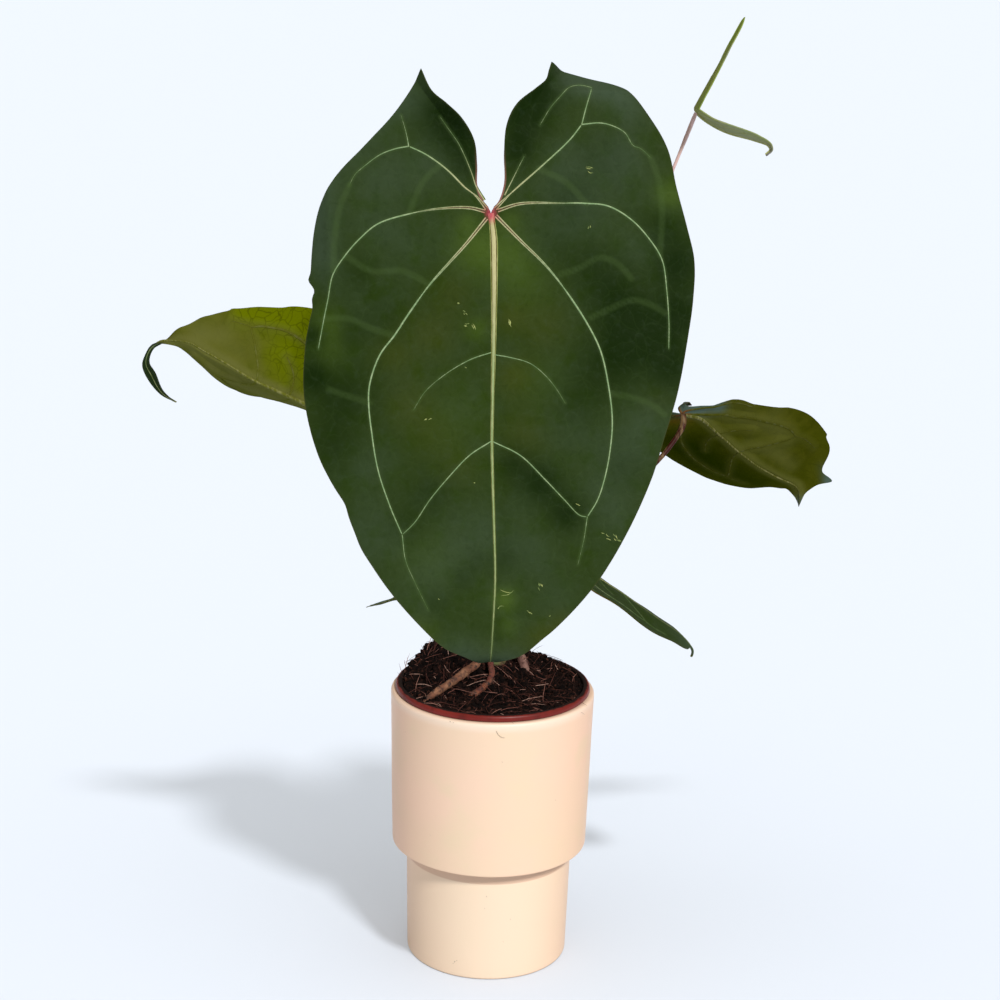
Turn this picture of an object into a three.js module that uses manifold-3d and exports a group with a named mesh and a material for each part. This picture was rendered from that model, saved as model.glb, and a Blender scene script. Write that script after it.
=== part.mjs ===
// A potted Anthurium papillilaminum with six heart-shaped leaves.
// The plant stands in a clay-red nursery pot, which hangs by its rim on the lip of a two-tier cream pot.
// Units are millimetres and +Z is up. The origin is the centre of the pot's foot, and -Y faces the viewer.
import * as THREE from "three";
import { mergeVertices } from "three/addons/utils/BufferGeometryUtils.js";
import Module from "manifold-3d";

const wasm = await Module();
wasm.setup();

// Driving dimensions
const GAP = 0.3; // clearance between pieces that rest on each other
const TURNED_SIDES = 40; // flats round a turned piece

const POT_HEIGHT = 174;
const POT_TOP_RADIUS = 63;
const STEP_HEIGHT = 74; // where the wide tier ends
const STEP_RADIUS = 61;
const LOWER_TOP_RADIUS = 52;
const FOOT_RADIUS = 50.5;
const POT_WALL = 4.8;
const POT_FLOOR = 6;
const POT_LIP_ROUND = 2.4;
const POT_EDGE_ROUND = 1.4; // every other corner of the glazed outside
const POT_INNER_TAPER = 2; // how much the upper tier narrows inside, down to the step
const POT_SHELF = [3, 9]; // where the slope inside the step starts and ends, above the step

const NURSERY_RIM_RADIUS = 60.3;
const NURSERY_RIM_HEIGHT = 3.6;
const NURSERY_TOP_RADIUS = 57.4; // outside, just under the rim
const NURSERY_BASE_RADIUS = 44;
const NURSERY_BASE_HEIGHT = 72; // above the table
const NURSERY_WALL = 1.2;
const NURSERY_FLOOR_RAISE = 1; // the floor inside the standing ring is this much higher
const NURSERY_STANDING_RING = 38; // its inner radius
const DRAIN_HOLES = 6;
const DRAIN_HOLE_RADIUS = 4;
const DRAIN_CIRCLE_RADIUS = 30;

const SOIL_LEVEL = 175;
const MOUND = { x: -18, y: 20, height: 28, across: 18, front: 18, back: 20 };
const STEM_FOOT = [-2, 14];
const STEM_BOTTOM = 168;
const STEM_TOP = 236;
const STEM_RADII = [9, 7]; // at the foot and at the top
const STEM_SCARS = 7; // swollen rings of old leaf scars
const STEM_SCAR_SWELL = 0.6;
const STEM_LEAN = [2, 3];
const STEM_CROWN = 0.9; // share of the height above which the stem closes in
const STEM_CROWN_TAPER = 2.8;

const BLADE_THICKNESS = 0.8;
const RIDGE_AT_PETIOLE = 2.2; // how far the midrib stands out under the blade
const RIDGE_AT_TIP = 0.3;
const RIDGE_HALF_WIDTH = 2.6;

// The colours of the pieces, as seen in daylight
const finish = (color, roughness) => new THREE.MeshStandardMaterial({ color, roughness, metalness: 0 });
const creamGlaze = finish(0xf3d9bf, 0.45);
const clayPlastic = finish(0x9a4034, 0.5);
const darkSoil = finish(0x2a1812, 0.95);
const woodyStem = finish(0x6b4a33, 0.85);
const rootSkin = finish(0x9a6d48, 0.8);
const petioleSkin = finish(0x7d5a3a, 0.55);
const velvetGreen = finish(0x2f4a24, 0.8);

const plant = new THREE.Group();

function addPiece(name, geometry, material) {
  geometry.computeVertexNormals();
  const mesh = new THREE.Mesh(geometry, material);
  mesh.name = name;
  plant.add(mesh);
  return mesh;
}

// Solids: a closed geometry becomes a solid that can be cut and joined, and comes back as a geometry.
function solidFrom(geometry) {
  const bare = new THREE.BufferGeometry();
  bare.setAttribute("position", geometry.getAttribute("position"));
  bare.setIndex(geometry.index);
  const merged = mergeVertices(bare, 1e-4);
  const vertProperties = new Float32Array(merged.getAttribute("position").array);
  const triVerts = new Uint32Array(merged.index.array);
  return new wasm.Manifold(new wasm.Mesh({ numProp: 3, vertProperties, triVerts }));
}

function geometryFrom(solid) {
  const mesh = solid.getMesh();
  const geometry = new THREE.BufferGeometry();
  geometry.setAttribute("position", new THREE.BufferAttribute(mesh.vertProperties, 3));
  geometry.setIndex(new THREE.BufferAttribute(mesh.triVerts, 1));
  return geometry;
}

function largestBody(solid) {
  const bodies = solid.decompose();
  return bodies.reduce((best, body) => (body.volume() > best.volume() ? body : best));
}

// A repeatable stream of numbers from 0 to 1, so that every build is the same
function seededRandom(seed) {
  let state = seed;
  return () => {
    state = (state + 0x6d2b79f5) | 0;
    let mixed = Math.imul(state ^ (state >>> 15), 1 | state);
    mixed = (mixed + Math.imul(mixed ^ (mixed >>> 7), 61 | mixed)) ^ mixed;
    return ((mixed ^ (mixed >>> 14)) >>> 0) / 4294967296;
  };
}

// A closed skin over a stack of rings with equal numbers of points, with a fan on each end
function skinOver(rings) {
  const sides = rings[0].length;
  const positions = [];
  const faces = [];
  for (const ring of rings) {
    for (const point of ring) positions.push(point.x, point.y, point.z);
  }
  for (let row = 0; row + 1 < rings.length; row++) {
    for (let side = 0; side < sides; side++) {
      const next = (side + 1) % sides;
      const a = row * sides + side;
      const b = row * sides + next;
      const c = a + sides;
      const d = b + sides;
      faces.push(a, b, d, a, d, c);
    }
  }
  for (const [row, turn] of [[0, 1], [rings.length - 1, 0]]) {
    const centre = new THREE.Vector3();
    for (const point of rings[row]) centre.addScaledVector(point, 1 / sides);
    const hub = positions.length / 3;
    positions.push(centre.x, centre.y, centre.z);
    for (let side = 0; side < sides; side++) {
      const here = row * sides + side;
      const next = row * sides + ((side + 1) % sides);
      faces.push(hub, turn ? next : here, turn ? here : next);
    }
  }
  const geometry = new THREE.BufferGeometry();
  geometry.setAttribute("position", new THREE.Float32BufferAttribute(positions, 3));
  geometry.setIndex(faces);
  return geometry;
}

// A round stalk along a smooth path. The radius is read from radii, spread evenly along it.
function stalk(points, radii, sides, steps, grow = 0) {
  const path = new THREE.CatmullRomCurve3(points.map((p) => new THREE.Vector3(...p)));
  const frames = path.computeFrenetFrames(steps, false);
  const rings = [];
  for (let step = 0; step <= steps; step++) {
    const along = step / steps;
    const centre = path.getPointAt(along);
    const place = along * (radii.length - 1);
    const low = Math.min(Math.floor(place), radii.length - 2);
    const radius = THREE.MathUtils.lerp(radii[low], radii[low + 1], place - low) + grow;
    const ring = [];
    for (let side = 0; side < sides; side++) {
      const angle = (side / sides) * 2 * Math.PI;
      ring.push(
        centre
          .clone()
          .addScaledVector(frames.normals[step], radius * Math.cos(angle))
          .addScaledVector(frames.binormals[step], radius * Math.sin(angle)),
      );
    }
    rings.push(ring);
  }
  return skinOver(rings);
}

// A shape turned about Z from a profile of [radius, height] points
function turned(profile) {
  const points = profile.map(([radius, height]) => new THREE.Vector2(radius, height));
  return new THREE.LatheGeometry(points, TURNED_SIDES).rotateX(Math.PI / 2);
}

// A rounded corner of a profile, from one point to another, both given as steps away from the corner
function rounded(corner, from, to, steps = 2) {
  const sharp = new THREE.Vector2(...corner);
  const start = sharp.clone().add(new THREE.Vector2(...from));
  const end = sharp.clone().add(new THREE.Vector2(...to));
  return new THREE.QuadraticBezierCurve(start, sharp, end).getPoints(steps).map((p) => [p.x, p.y]);
}

// The cream pot: two tiers in one casting, hollow all the way down, with a flat foot
function cachepot() {
  const innerTop = POT_TOP_RADIUS - POT_WALL;
  const innerLow = LOWER_TOP_RADIUS - POT_WALL;
  const [shelfLow, shelfHigh] = POT_SHELF.map((rise) => STEP_HEIGHT + rise);
  const edge = POT_EDGE_ROUND;
  const profile = [
    [0, 0],
    ...rounded([FOOT_RADIUS, 0], [-edge, 0], [0, edge]),
    [LOWER_TOP_RADIUS, STEP_HEIGHT],
    ...rounded([STEP_RADIUS, STEP_HEIGHT], [-edge, 0], [0, edge]),
    ...rounded([POT_TOP_RADIUS, POT_HEIGHT], [0, -POT_LIP_ROUND], [-POT_LIP_ROUND, 0], 3),
    ...rounded([innerTop, POT_HEIGHT], [edge / 2, 0], [0, -edge]),
    [innerTop - POT_INNER_TAPER, shelfHigh],
    [innerLow, shelfLow],
    ...rounded([innerLow - POT_INNER_TAPER, POT_FLOOR], [0, 2 * edge], [-2 * edge, 0]),
    [0, POT_FLOOR],
  ];
  return turned(profile);
}

// The nursery pot: thin clay-red plastic with a folded rim that sits on the cream pot's lip
function nurseryRadius(height) {
  const share = (height - NURSERY_BASE_HEIGHT) / (POT_HEIGHT - NURSERY_BASE_HEIGHT);
  return THREE.MathUtils.lerp(NURSERY_BASE_RADIUS, NURSERY_TOP_RADIUS, share);
}

function nurseryPot() {
  const under = POT_HEIGHT + GAP;
  const top = under + NURSERY_RIM_HEIGHT;
  const inside = NURSERY_TOP_RADIUS - NURSERY_WALL;
  const raised = NURSERY_BASE_HEIGHT + NURSERY_FLOOR_RAISE;
  const floor = raised + 1.5;
  const edge = 1;
  const profile = [
    [0, raised],
    [NURSERY_STANDING_RING - edge, raised],
    [NURSERY_STANDING_RING, NURSERY_BASE_HEIGHT],
    ...rounded([NURSERY_BASE_RADIUS, NURSERY_BASE_HEIGHT], [-edge, 0], [0, 2 * edge]),
    [NURSERY_TOP_RADIUS, under],
    ...rounded([NURSERY_RIM_RADIUS, under], [-edge / 2, 0], [0, edge / 2]),
    ...rounded([NURSERY_RIM_RADIUS, top], [0, 1.5 * edge - NURSERY_RIM_HEIGHT], [-1.5 * edge, 0], 3),
    ...rounded([inside, top], [edge, 0], [0, -edge]),
    [inside, under],
    [nurseryRadius(floor + edge) - NURSERY_WALL, floor + edge],
    [NURSERY_STANDING_RING, floor],
    [0, floor],
  ];
  let pot = solidFrom(turned(profile));
  const drill = new THREE.CylinderGeometry(DRAIN_HOLE_RADIUS, DRAIN_HOLE_RADIUS, 12, 10);
  drill.rotateX(Math.PI / 2).translate(DRAIN_CIRCLE_RADIUS, 0, NURSERY_BASE_HEIGHT);
  const hole = solidFrom(drill);
  for (let place = 0; place < DRAIN_HOLES; place++) {
    pot = pot.subtract(hole.rotate([0, 0, (place * 360) / DRAIN_HOLES]));
  }
  return geometryFrom(pot);
}

// The stem: a short woody rhizome with the swollen rings of old leaf scars
function stem(grow = 0) {
  const steps = 16;
  const sides = 12;
  const rings = [];
  for (let step = 0; step <= steps; step++) {
    const share = step / steps;
    const height = THREE.MathUtils.lerp(STEM_BOTTOM, STEM_TOP, share);
    const swell = STEM_SCAR_SWELL * Math.cos(share * STEM_SCARS * 2 * Math.PI);
    const closing = Math.max(0, share - STEM_CROWN) / (1 - STEM_CROWN);
    const radius = THREE.MathUtils.lerp(...STEM_RADII, share) + swell - STEM_CROWN_TAPER * closing + grow;
    const x = STEM_FOOT[0] + STEM_LEAN[0] * Math.sin(2.2 * share);
    const y = STEM_FOOT[1] + STEM_LEAN[1] * share;
    const ring = [];
    for (let side = 0; side < sides; side++) {
      const angle = (side / sides) * 2 * Math.PI;
      ring.push(new THREE.Vector3(x + radius * Math.cos(angle), y + radius * Math.sin(angle), height));
    }
    rings.push(ring);
  }
  rings[0].forEach((point) => (point.z -= grow));
  rings[steps].forEach((point) => (point.z += grow));
  return skinOver(rings);
}

// Aerial roots: they leave the stem, come down beside or over the mound and run into the soil.
const ROOTS = [
  {
    name: "aerial_root_left",
    points: [[-3, 10, 205], [-6, 1, 199], [-11, -6, 191], [-17, -12, 188], [-23, -16, 184], [-32, -23, 180],
      [-40.5, -29.5, 174.5], [-42.5, -30, 166]],
    radii: [3.2, 2.8, 2.6, 2.7, 2.4, 2.5, 2.1, 1.7],
  },
  {
    name: "aerial_root_front",
    points: [[-2, 9, 198], [-2, 0, 192], [-1, -9, 184], [-5, -15, 180], [-10, -20, 177.5], [-15, -25, 174.5],
      [-19, -28, 166]],
    radii: [2.4, 2, 1.8, 2, 2, 1.8, 1.4],
  },
  {
    name: "aerial_root_right",
    points: [[3, 16, 212], [10, 19, 208], [14.6, 20, 195], [16.7, 22, 188], [19.4, 21.5, 180],
      [21.5, 21, 174], [23, 21, 163]],
    radii: [3, 2.9, 2.8, 2.9, 3, 3, 2.4],
  },
  {
    name: "aerial_root_back",
    points: [[-3, 19, 204], [-7, 28, 204], [-13, 39, 194], [-17, 46, 178], [-18, 47, 164]],
    radii: [3, 2.6, 2.5, 2.5, 2],
  },
];
const ROOT_SIDES = 7;
const ROOT_STEPS = 10;

const rootTube = (root, grow = 0) => stalk(root.points, root.radii, ROOT_SIDES, ROOT_STEPS, grow);

// Potting mix: a crumbly surface that rises in a mound round the stem, with coarse coir fibres in it
const SOIL_BACK_RISE = 2.5; // the soil lies this much higher at the back
const SOIL_CALM_RADIUS = 56; // the lumps die down towards this radius
const LUMPS = [1.3, 0.9, 0.7]; // heights of the broad, the slanting and the small lumps
const FIBRES = 16;
const FIBRE_SPREAD = 44;
const FIBRE_HALF_LENGTH = [6, 14];
const FIBRE_RADII = [0.6, 0.7, 0.6];
const FIBRE_BURIED = 2.5; // how deep the ends of a fibre go

// The numbers in the sines are radians per millimetre, so the lumps are 8 to 20 mm long.
function soilHeight(x, y) {
  const dx = (x - MOUND.x) / MOUND.across;
  const dy = (y - MOUND.y) / (y < MOUND.y ? MOUND.front : MOUND.back);
  const mound = MOUND.height * Math.exp(-0.5 * (dx * dx + dy * dy));
  const lumps =
    LUMPS[0] * Math.sin(x * 0.31 + 1.7 * Math.sin(y * 0.13)) * Math.cos(y * 0.27 + 0.6) +
    LUMPS[1] * Math.sin(x * 0.62 + y * 0.41 + 2.1) +
    LUMPS[2] * Math.cos(y * 0.83 - x * 0.35);
  const calm = THREE.MathUtils.clamp((SOIL_CALM_RADIUS - Math.hypot(x, y)) / 20, 0.3, 1);
  const rise = SOIL_BACK_RISE * THREE.MathUtils.smoothstep(y, 5, 50);
  return SOIL_LEVEL + rise + mound + lumps * calm;
}

function coirFibre(random) {
  const reach = FIBRE_SPREAD * Math.sqrt(random());
  const where = random() * 2 * Math.PI;
  const middle = [reach * Math.cos(where), reach * Math.sin(where)];
  const heading = random() * Math.PI;
  const half = THREE.MathUtils.lerp(...FIBRE_HALF_LENGTH, random());
  const ends = [-1, -0.4, 0.4, 1].map((share) => {
    const x = middle[0] + share * half * Math.cos(heading);
    const y = middle[1] + share * half * Math.sin(heading);
    const lift = Math.abs(share) === 1 ? -FIBRE_BURIED : 0.9 + random();
    return [x, y, soilHeight(x, y) + lift];
  });
  return stalk(ends, FIBRE_RADII, 3, 3);
}

function pottingMix(cutters) {
  const sides = 36;
  const rings = 9;
  const floor = NURSERY_BASE_HEIGHT + NURSERY_FLOOR_RAISE + 1.5 + GAP;
  const shoulder = SOIL_LEVEL - 6; // the top of the plain side
  const wallRadius = (height) => nurseryRadius(height) - NURSERY_WALL - GAP - 0.2;
  const ringAt = (radius, height) => {
    const ring = [];
    for (let side = 0; side < sides; side++) {
      const angle = (side / sides) * 2 * Math.PI;
      const x = radius * Math.cos(angle);
      const y = radius * Math.sin(angle);
      ring.push(new THREE.Vector3(x, y, height ?? soilHeight(x, y)));
    }
    return ring;
  };
  const topRadius = wallRadius(shoulder);
  const stack = [
    ringAt(NURSERY_STANDING_RING - 1, floor),
    ringAt(wallRadius(floor + 4), floor + 4),
    ringAt(topRadius, shoulder),
  ];
  for (let ring = 0; ring < rings; ring++) stack.push(ringAt(topRadius * (1 - ring / rings) - GAP));
  let soil = solidFrom(skinOver(stack));
  const random = seededRandom(41);
  for (let fibre = 0; fibre < FIBRES; fibre++) soil = soil.add(solidFrom(coirFibre(random)));
  for (const cutter of cutters) soil = soil.subtract(cutter);
  return largestBody(soil).asOriginal().simplify(0.04);
}

// Leaf outlines as stations from the top of a lobe to the leaf tip. A station is a line across one half:
// [inner across, inner along, outer across, outer along]. Along counts from the petiole towards the tip.
// Above the petiole the inner end runs down the edge of the sinus, and below it down the midrib, where both
// halves of a leaf have the same inner ends.
const FRONT_LEFT = [
  [41, -83, 41, -83],
  [35, -71, 48.5, -70],
  [26, -63, 59, -56],
  [17, -54, 75, -39],
  [10, -42, 92, -21],
  [8.2, -28, 101, -5],
  [8, -16, 105.5, 12],
  [5, -8, 107.5, 36],
  [0, 0, 107, 58],
  [0, 28, 110.5, 80],
  [0, 60, 111, 108],
  [0, 95, 102.5, 142],
  [0, 130, 88, 171],
  [0, 165, 76.5, 197],
  [0, 198, 63, 219],
  [0, 228, 43.5, 242],
  [0, 250, 26, 258],
  [0, 267, 9, 268],
  [0, 284, 0, 284],
];
const FRONT_RIGHT = [
  [35, -87.5, 35, -87.5],
  [33.5, -83, 44, -84.5],
  [32, -78, 55, -81],
  [26, -72.5, 79, -73],
  [15, -63, 93, -57],
  [9, -51, 104, -38],
  [7.5, -35, 109, -17],
  [7.7, -18, 116, 7],
  [5, -8, 121, 27],
  [0, 0, 120.5, 50],
  [0, 28, 116.5, 78],
  [0, 60, 111.5, 105],
  [0, 95, 103.5, 133],
  [0, 130, 96, 157],
  [0, 165, 81.5, 189],
  [0, 198, 64, 218],
  [0, 228, 41, 244],
  [0, 250, 20, 261],
  [0, 267, 6, 269],
  [0, 284, 0, 284],
];
const LEFT_LOW = [
  [22, -42, 22, -42],
  [15, -38, 38, -36],
  [9, -28, 51, -18],
  [5, -15, 58, 2],
  [2, -5, 60.5, 20],
  [0, 0, 59.5, 34],
  [0, 14, 54, 48],
  [0, 34, 42, 62],
  [0, 52, 27, 73],
  [0, 68, 16, 86],
  [0, 82, 10.5, 94],
  [0, 95, 7, 106],
  [0, 108, 3, 116],
  [0, 124, 1.6, 129],
  [0, 136, 1.7, 140],
  [0, 150, 4, 153],
  [0, 163, 2.2, 165],
  [0, 177, 0, 177],
];
const LEFT_HIGH = [
  [22, -42, 22, -42],
  [15, -38, 38, -36],
  [9, -28, 51, -18],
  [5, -15, 58, 2],
  [2, -5, 60.5, 20],
  [0, 0, 59.5, 34],
  [0, 14, 55.5, 49],
  [0, 34, 47, 70],
  [0, 52, 36, 87],
  [0, 68, 30, 98.5],
  [0, 82, 21, 104.5],
  [0, 95, 12.5, 110.5],
  [0, 108, 6.5, 120.5],
  [0, 124, 2, 129],
  [0, 136, 2, 140],
  [0, 150, 4, 153],
  [0, 163, 2.2, 165],
  [0, 177, 0, 177],
];
const RIGHT_LEFT = [
  [2, -20, 2, -20],
  [1.5, -16, 5, -14],
  [1, -9, 6, -7],
  [0.6, -3, 6.5, 1],
  [0, 0, 8, 8],
  [0, 4, 11, 16],
  [0, 8, 16, 20.5],
  [0, 11, 20.5, 21.8],
  [0, 15, 25.5, 27],
  [0, 23, 30, 39],
  [0, 35, 37.5, 54],
  [0, 48, 43, 66],
  [0, 62, 47, 84],
  [0, 80, 45, 102],
  [0, 100, 36, 118.5],
  [0, 112, 19, 124],
  [0, 118, 23.5, 128.8],
  [0, 122, 12, 128.5],
  [0, 129, 3.8, 132.5],
  [0, 141, 0, 141],
];
const RIGHT_RIGHT = [
  [11, -27, 11, -27],
  [9, -25, 25, -23],
  [7, -19, 40, -8],
  [4, -11, 47, 8],
  [0, 0, 50, 30],
  [0, 4, 50, 40],
  [0, 8, 49, 47],
  [0, 11, 48.2, 52],
  [0, 15, 47.3, 57],
  [0, 23, 45, 64.5],
  [0, 35, 42.5, 74.5],
  [0, 48, 39.5, 85],
  [0, 62, 35.4, 95.3],
  [0, 80, 28, 107],
  [0, 100, 16, 113],
  [0, 112, 11.5, 120],
  [0, 118, 8.3, 126],
  [0, 122, 6.3, 129.5],
  [0, 129, 3.3, 133.8],
  [0, 141, 0, 141],
];
const TOP_HALF = [
  [12, -63, 12, -63],
  [6, -60.5, 19, -57.5],
  [3, -44, 22, -40],
  [2, -28, 25, -22],
  [1.5, -12, 26, -8],
  [1, -6, 26, -4],
  [0.5, -3, 26, -1.5],
  [0, 0, 26, 1],
  [0, 6, 25, 9],
  [0, 16, 22, 21],
  [0, 28, 16, 33],
  [0, 40, 9, 43],
  [0, 48, 4, 49],
  [0, 52, 1.6, 53.5],
  [0, 58, 1.4, 59],
  [0, 63, 0, 63],
];
// The same heart for the two low leaves, in shares of half its width and of its length without the drip tip
const HEART = [
  [0.42, -0.36, 0.42, -0.36],
  [0.27, -0.34, 0.64, -0.32],
  [0.16, -0.26, 0.84, -0.21],
  [0.09, -0.15, 0.96, -0.06],
  [0.05, -0.06, 1, 0.1],
  [0, 0, 1, 0.25],
  [0, 0.13, 0.95, 0.41],
  [0, 0.28, 0.84, 0.57],
  [0, 0.45, 0.68, 0.73],
  [0, 0.63, 0.5, 0.87],
  [0, 0.8, 0.34, 0.97],
  [0, 0.94, 0.18, 1.01],
];
// Stations of the drip tip, all with their inner end on the midrib: share of the tip's length there,
// then share of the tip's half width and of its length at the margin
const DRIP_TIP = [
  [0.04, 1, 0.2],
  [0.5, 0.8, 0.6],
  [1, 0, 1],
];

function heartStations({ halfWidth, length, tipWidth, tipLength }) {
  const body = HEART.map(([a, b, c, d]) => [a * halfWidth, b * length, c * halfWidth, d * length]);
  const tip = DRIP_TIP.map(([b, c, d]) => [0, length + b * tipLength, c * tipWidth, length + d * tipLength]);
  return [...body, ...tip];
}

// The six leaves. Junction is where the petiole meets the blade, and rib points count from it.
// Across is the direction of the leaf's right half, seen from its upper face with the tip down.
// Fold and curl lift (or drop) the left and right halves: degrees, and degrees per millimetre across.
// A fold written as a pair goes from its first value at the petiole to its second at the tip.
const LEAVES = [
  {
    name: "front",
    junction: [-8.2, 8, 467],
    rib: [[0, 0, 0], [1.3, -10, -60], [2.8, -24, -129], [4.4, -39, -198], [5.5, -49, -243], [5.8, -50, -253],
      [5.8, -47, -261], [5.6, -39, -265], [5.4, -29, -264]],
    across: [1, 0, 0],
    stations: [FRONT_LEFT, FRONT_RIGHT],
    fold: [2, 2],
    curl: [-0.09, -0.09],
    lobeLift: [-4, -4],
    wave: [2, 2.5, 0.3],
    columns: 7,
    petiole: [[-2, 12, 216], [-2, 7, 226], [-3, 12, 252], [-5, 24, 330], [-8, 26, 420], [-9, 19, 454],
      [-8, 10, 464]],
    radii: [5.2, 4.2, 3.2, 2.8, 2.5, 2.8, 3],
  },
  {
    name: "left",
    junction: [-99.3, 45, 329.3],
    rib: [[0, 0, 0], [-22, -2, 11], [-41, -3, 20], [-56, -3, 27], [-69, -2, 34], [-84, 1, 41], [-94, 5, 46],
      [-106, 10, 47], [-115, 13, 45], [-120, 15, 40], [-122.5, 17, 31], [-119, 17, 24], [-112, 15, 13.5],
      [-102, 13, 7.2]],
    across: [0, 0.1, 1],
    stations: [LEFT_LOW, LEFT_HIGH],
    fold: [[75, 5], 8],
    curl: [1.1, -0.1],
    lobeLift: [10, 10],
    wave: [1, 2, 0.1],
    twist: [114, 138, 160],
    petiole: [[-2, 14, 206], [-9, 16, 218], [-28, 26, 262], [-62, 40, 306], [-88, 45, 324], [-99, 46, 328.5]],
    radii: [4.6, 3.8, 2.6, 2.3, 2.3, 2.6],
  },
  {
    name: "right",
    junction: [115.1, 60, 337.3],
    rib: [[0, 0, 0], [12.4, 10, -4.6], [26.3, 22, -17.5], [41, 35, -31.5], [56.5, 47, -44], [74, 58, -55],
      [84, 64, -61.5], [86.5, 68, -69.5], [87, 70, -79]],
    across: [-0.66, 0.224, -0.67],
    stations: [RIGHT_LEFT, RIGHT_RIGHT],
    fold: [5, 20],
    curl: [0.1, 0.2],
    lobeLift: [165, 20],
    wave: [1.2, 2, 0.5],
    petiole: [[-2, 14, 200], [8, 15, 212], [36, 22, 252], [72, 34, 288], [97, 44, 308], [109, 52, 321],
      [115, 57, 331], [115.1, 60, 337]],
    radii: [4.6, 3.6, 2.4, 1.9, 1.6, 1.5, 1.5, 1.7],
  },
  {
    name: "top",
    junction: [113.8, 60, 524.5],
    rib: [[0, 0, 0], [8, -1, -6], [18, -2, -10.8], [37, -4, -15.8], [44.5, -5, -18.3], [45.8, -5, -21],
      [43, -5, -24]],
    across: [0.086, 0.996, -0.084],
    stations: [TOP_HALF, TOP_HALF],
    fold: [[2, 24], [2, 24]],
    curl: [0.2, 0.2],
    lobeLift: [79, 79],
    lobeBend: 3.5,
    wave: [0, 2, 0.2],
    petiole: [[-1, 17, 222], [3, 20, 234], [24, 30, 290], [58, 44, 380], [92, 56, 465], [103, 59, 494],
      [113.8, 60, 524]],
    radii: [3.4, 2.8, 2, 1.5, 1.1, 0.9, 1.1],
  },
  {
    name: "low_right",
    junction: [41.4, 80, 238],
    rib: [[0, 0, 0], [27, -2, -17], [46, -4, -28.3], [64.5, -6, -41], [78.5, -8, -50], [88, -10, -60],
      [88.2, -10, -63.6], [87, -10, -66]],
    across: [-0.07, 0.96, -0.2],
    heart: { halfWidth: 32, length: 104, tipWidth: 1.4, tipLength: 9 },
    fold: [[-10, -30], [2, 3]],
    curl: [0.1, -0.2],
    lobeLift: [6, 6],
    wave: [1, 2, 0.6],
    petiole: [[-2, 15, 186], [6, 21, 197], [18, 40, 220], [32, 64, 235], [41, 79, 237.5]],
    radii: [4.4, 3.4, 2.3, 2, 2.3],
  },
  {
    name: "low_left",
    junction: [-14, 95, 235],
    rib: [[0, 0, 0], [-18, -5, -8], [-36, -9, -20], [-48, -12, -30], [-60, -14, -34.5], [-69, -15, -37],
      [-72, -15, -38.5]],
    across: [-0.1, -0.95, 0.2],
    heart: { halfWidth: 21, length: 58, tipWidth: 1.2, tipLength: 24 },
    fold: [6, 6],
    curl: [-0.1, -0.1],
    lobeLift: [10, 10],
    wave: [1, 2, 0.1],
    twist: [50, 64, 75],
    petiole: [[-2, 15, 182], [-5, 23, 192], [-10, 45, 220], [-13, 74, 236], [-14, 93, 235.5]],
    radii: [4.2, 3.2, 2.2, 1.9, 2.1],
  },
];

const DEGREES = Math.PI / 180;
const LOBE_BEND = 8; // length over which a lobe turns to its lift
const FRAME_STEPS = 80;
const BLADE_COLUMNS = 4; // strips from the midrib to the margin
const PETIOLE_SIDES = 7;
const PETIOLE_STEPS = 12;

// The midrib as a curve with a frame carried along it: down the leaf, across it, and out of its upper face
function spineOf(leaf) {
  const path = new THREE.CatmullRomCurve3(leaf.rib.map((p) => new THREE.Vector3(...p)));
  const length = path.getLength();
  const frames = [];
  const [from, to, degrees] = leaf.twist ?? [0, 1, 0];
  let across = new THREE.Vector3(...leaf.across);
  for (let step = 0; step <= FRAME_STEPS; step++) {
    const down = path.getTangentAt(step / FRAME_STEPS);
    across = across.clone().addScaledVector(down, -across.dot(down)).normalize();
    const turn = THREE.MathUtils.smoothstep((step / FRAME_STEPS) * length, from, to) * degrees * DEGREES;
    const twisted = across.clone().applyAxisAngle(down, turn);
    frames.push({ at: path.getPointAt(step / FRAME_STEPS), down, across: twisted });
  }
  return (along, half = 1) => {
    if (along < 0) {
      const lift = leaf.lobeLift[half < 0 ? 0 : 1] * DEGREES;
      const { down, across: side } = frames[0];
      const out = down.clone().cross(side);
      const bend = leaf.lobeBend ?? LOBE_BEND;
      const turn = lift * Math.min(1, -along / bend);
      const arc = bend / lift;
      const rest = Math.max(0, -along - bend);
      const at = new THREE.Vector3()
        .addScaledVector(down, -arc * Math.sin(turn) - rest * Math.cos(turn))
        .addScaledVector(out, arc * (1 - Math.cos(turn)) + rest * Math.sin(turn));
      const normal = out.clone().multiplyScalar(Math.cos(turn)).addScaledVector(down, Math.sin(turn));
      return { at, side, out: normal };
    }
    const place = Math.min(along / length, 1) * FRAME_STEPS;
    const low = Math.min(Math.floor(place), FRAME_STEPS - 1);
    const mix = (key) => frames[low][key].clone().lerp(frames[low + 1][key], place - low);
    const side = mix("across").normalize();
    const down = mix("down").normalize();
    return { at: mix("at"), side, out: down.cross(side).normalize() };
  };
}

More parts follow.
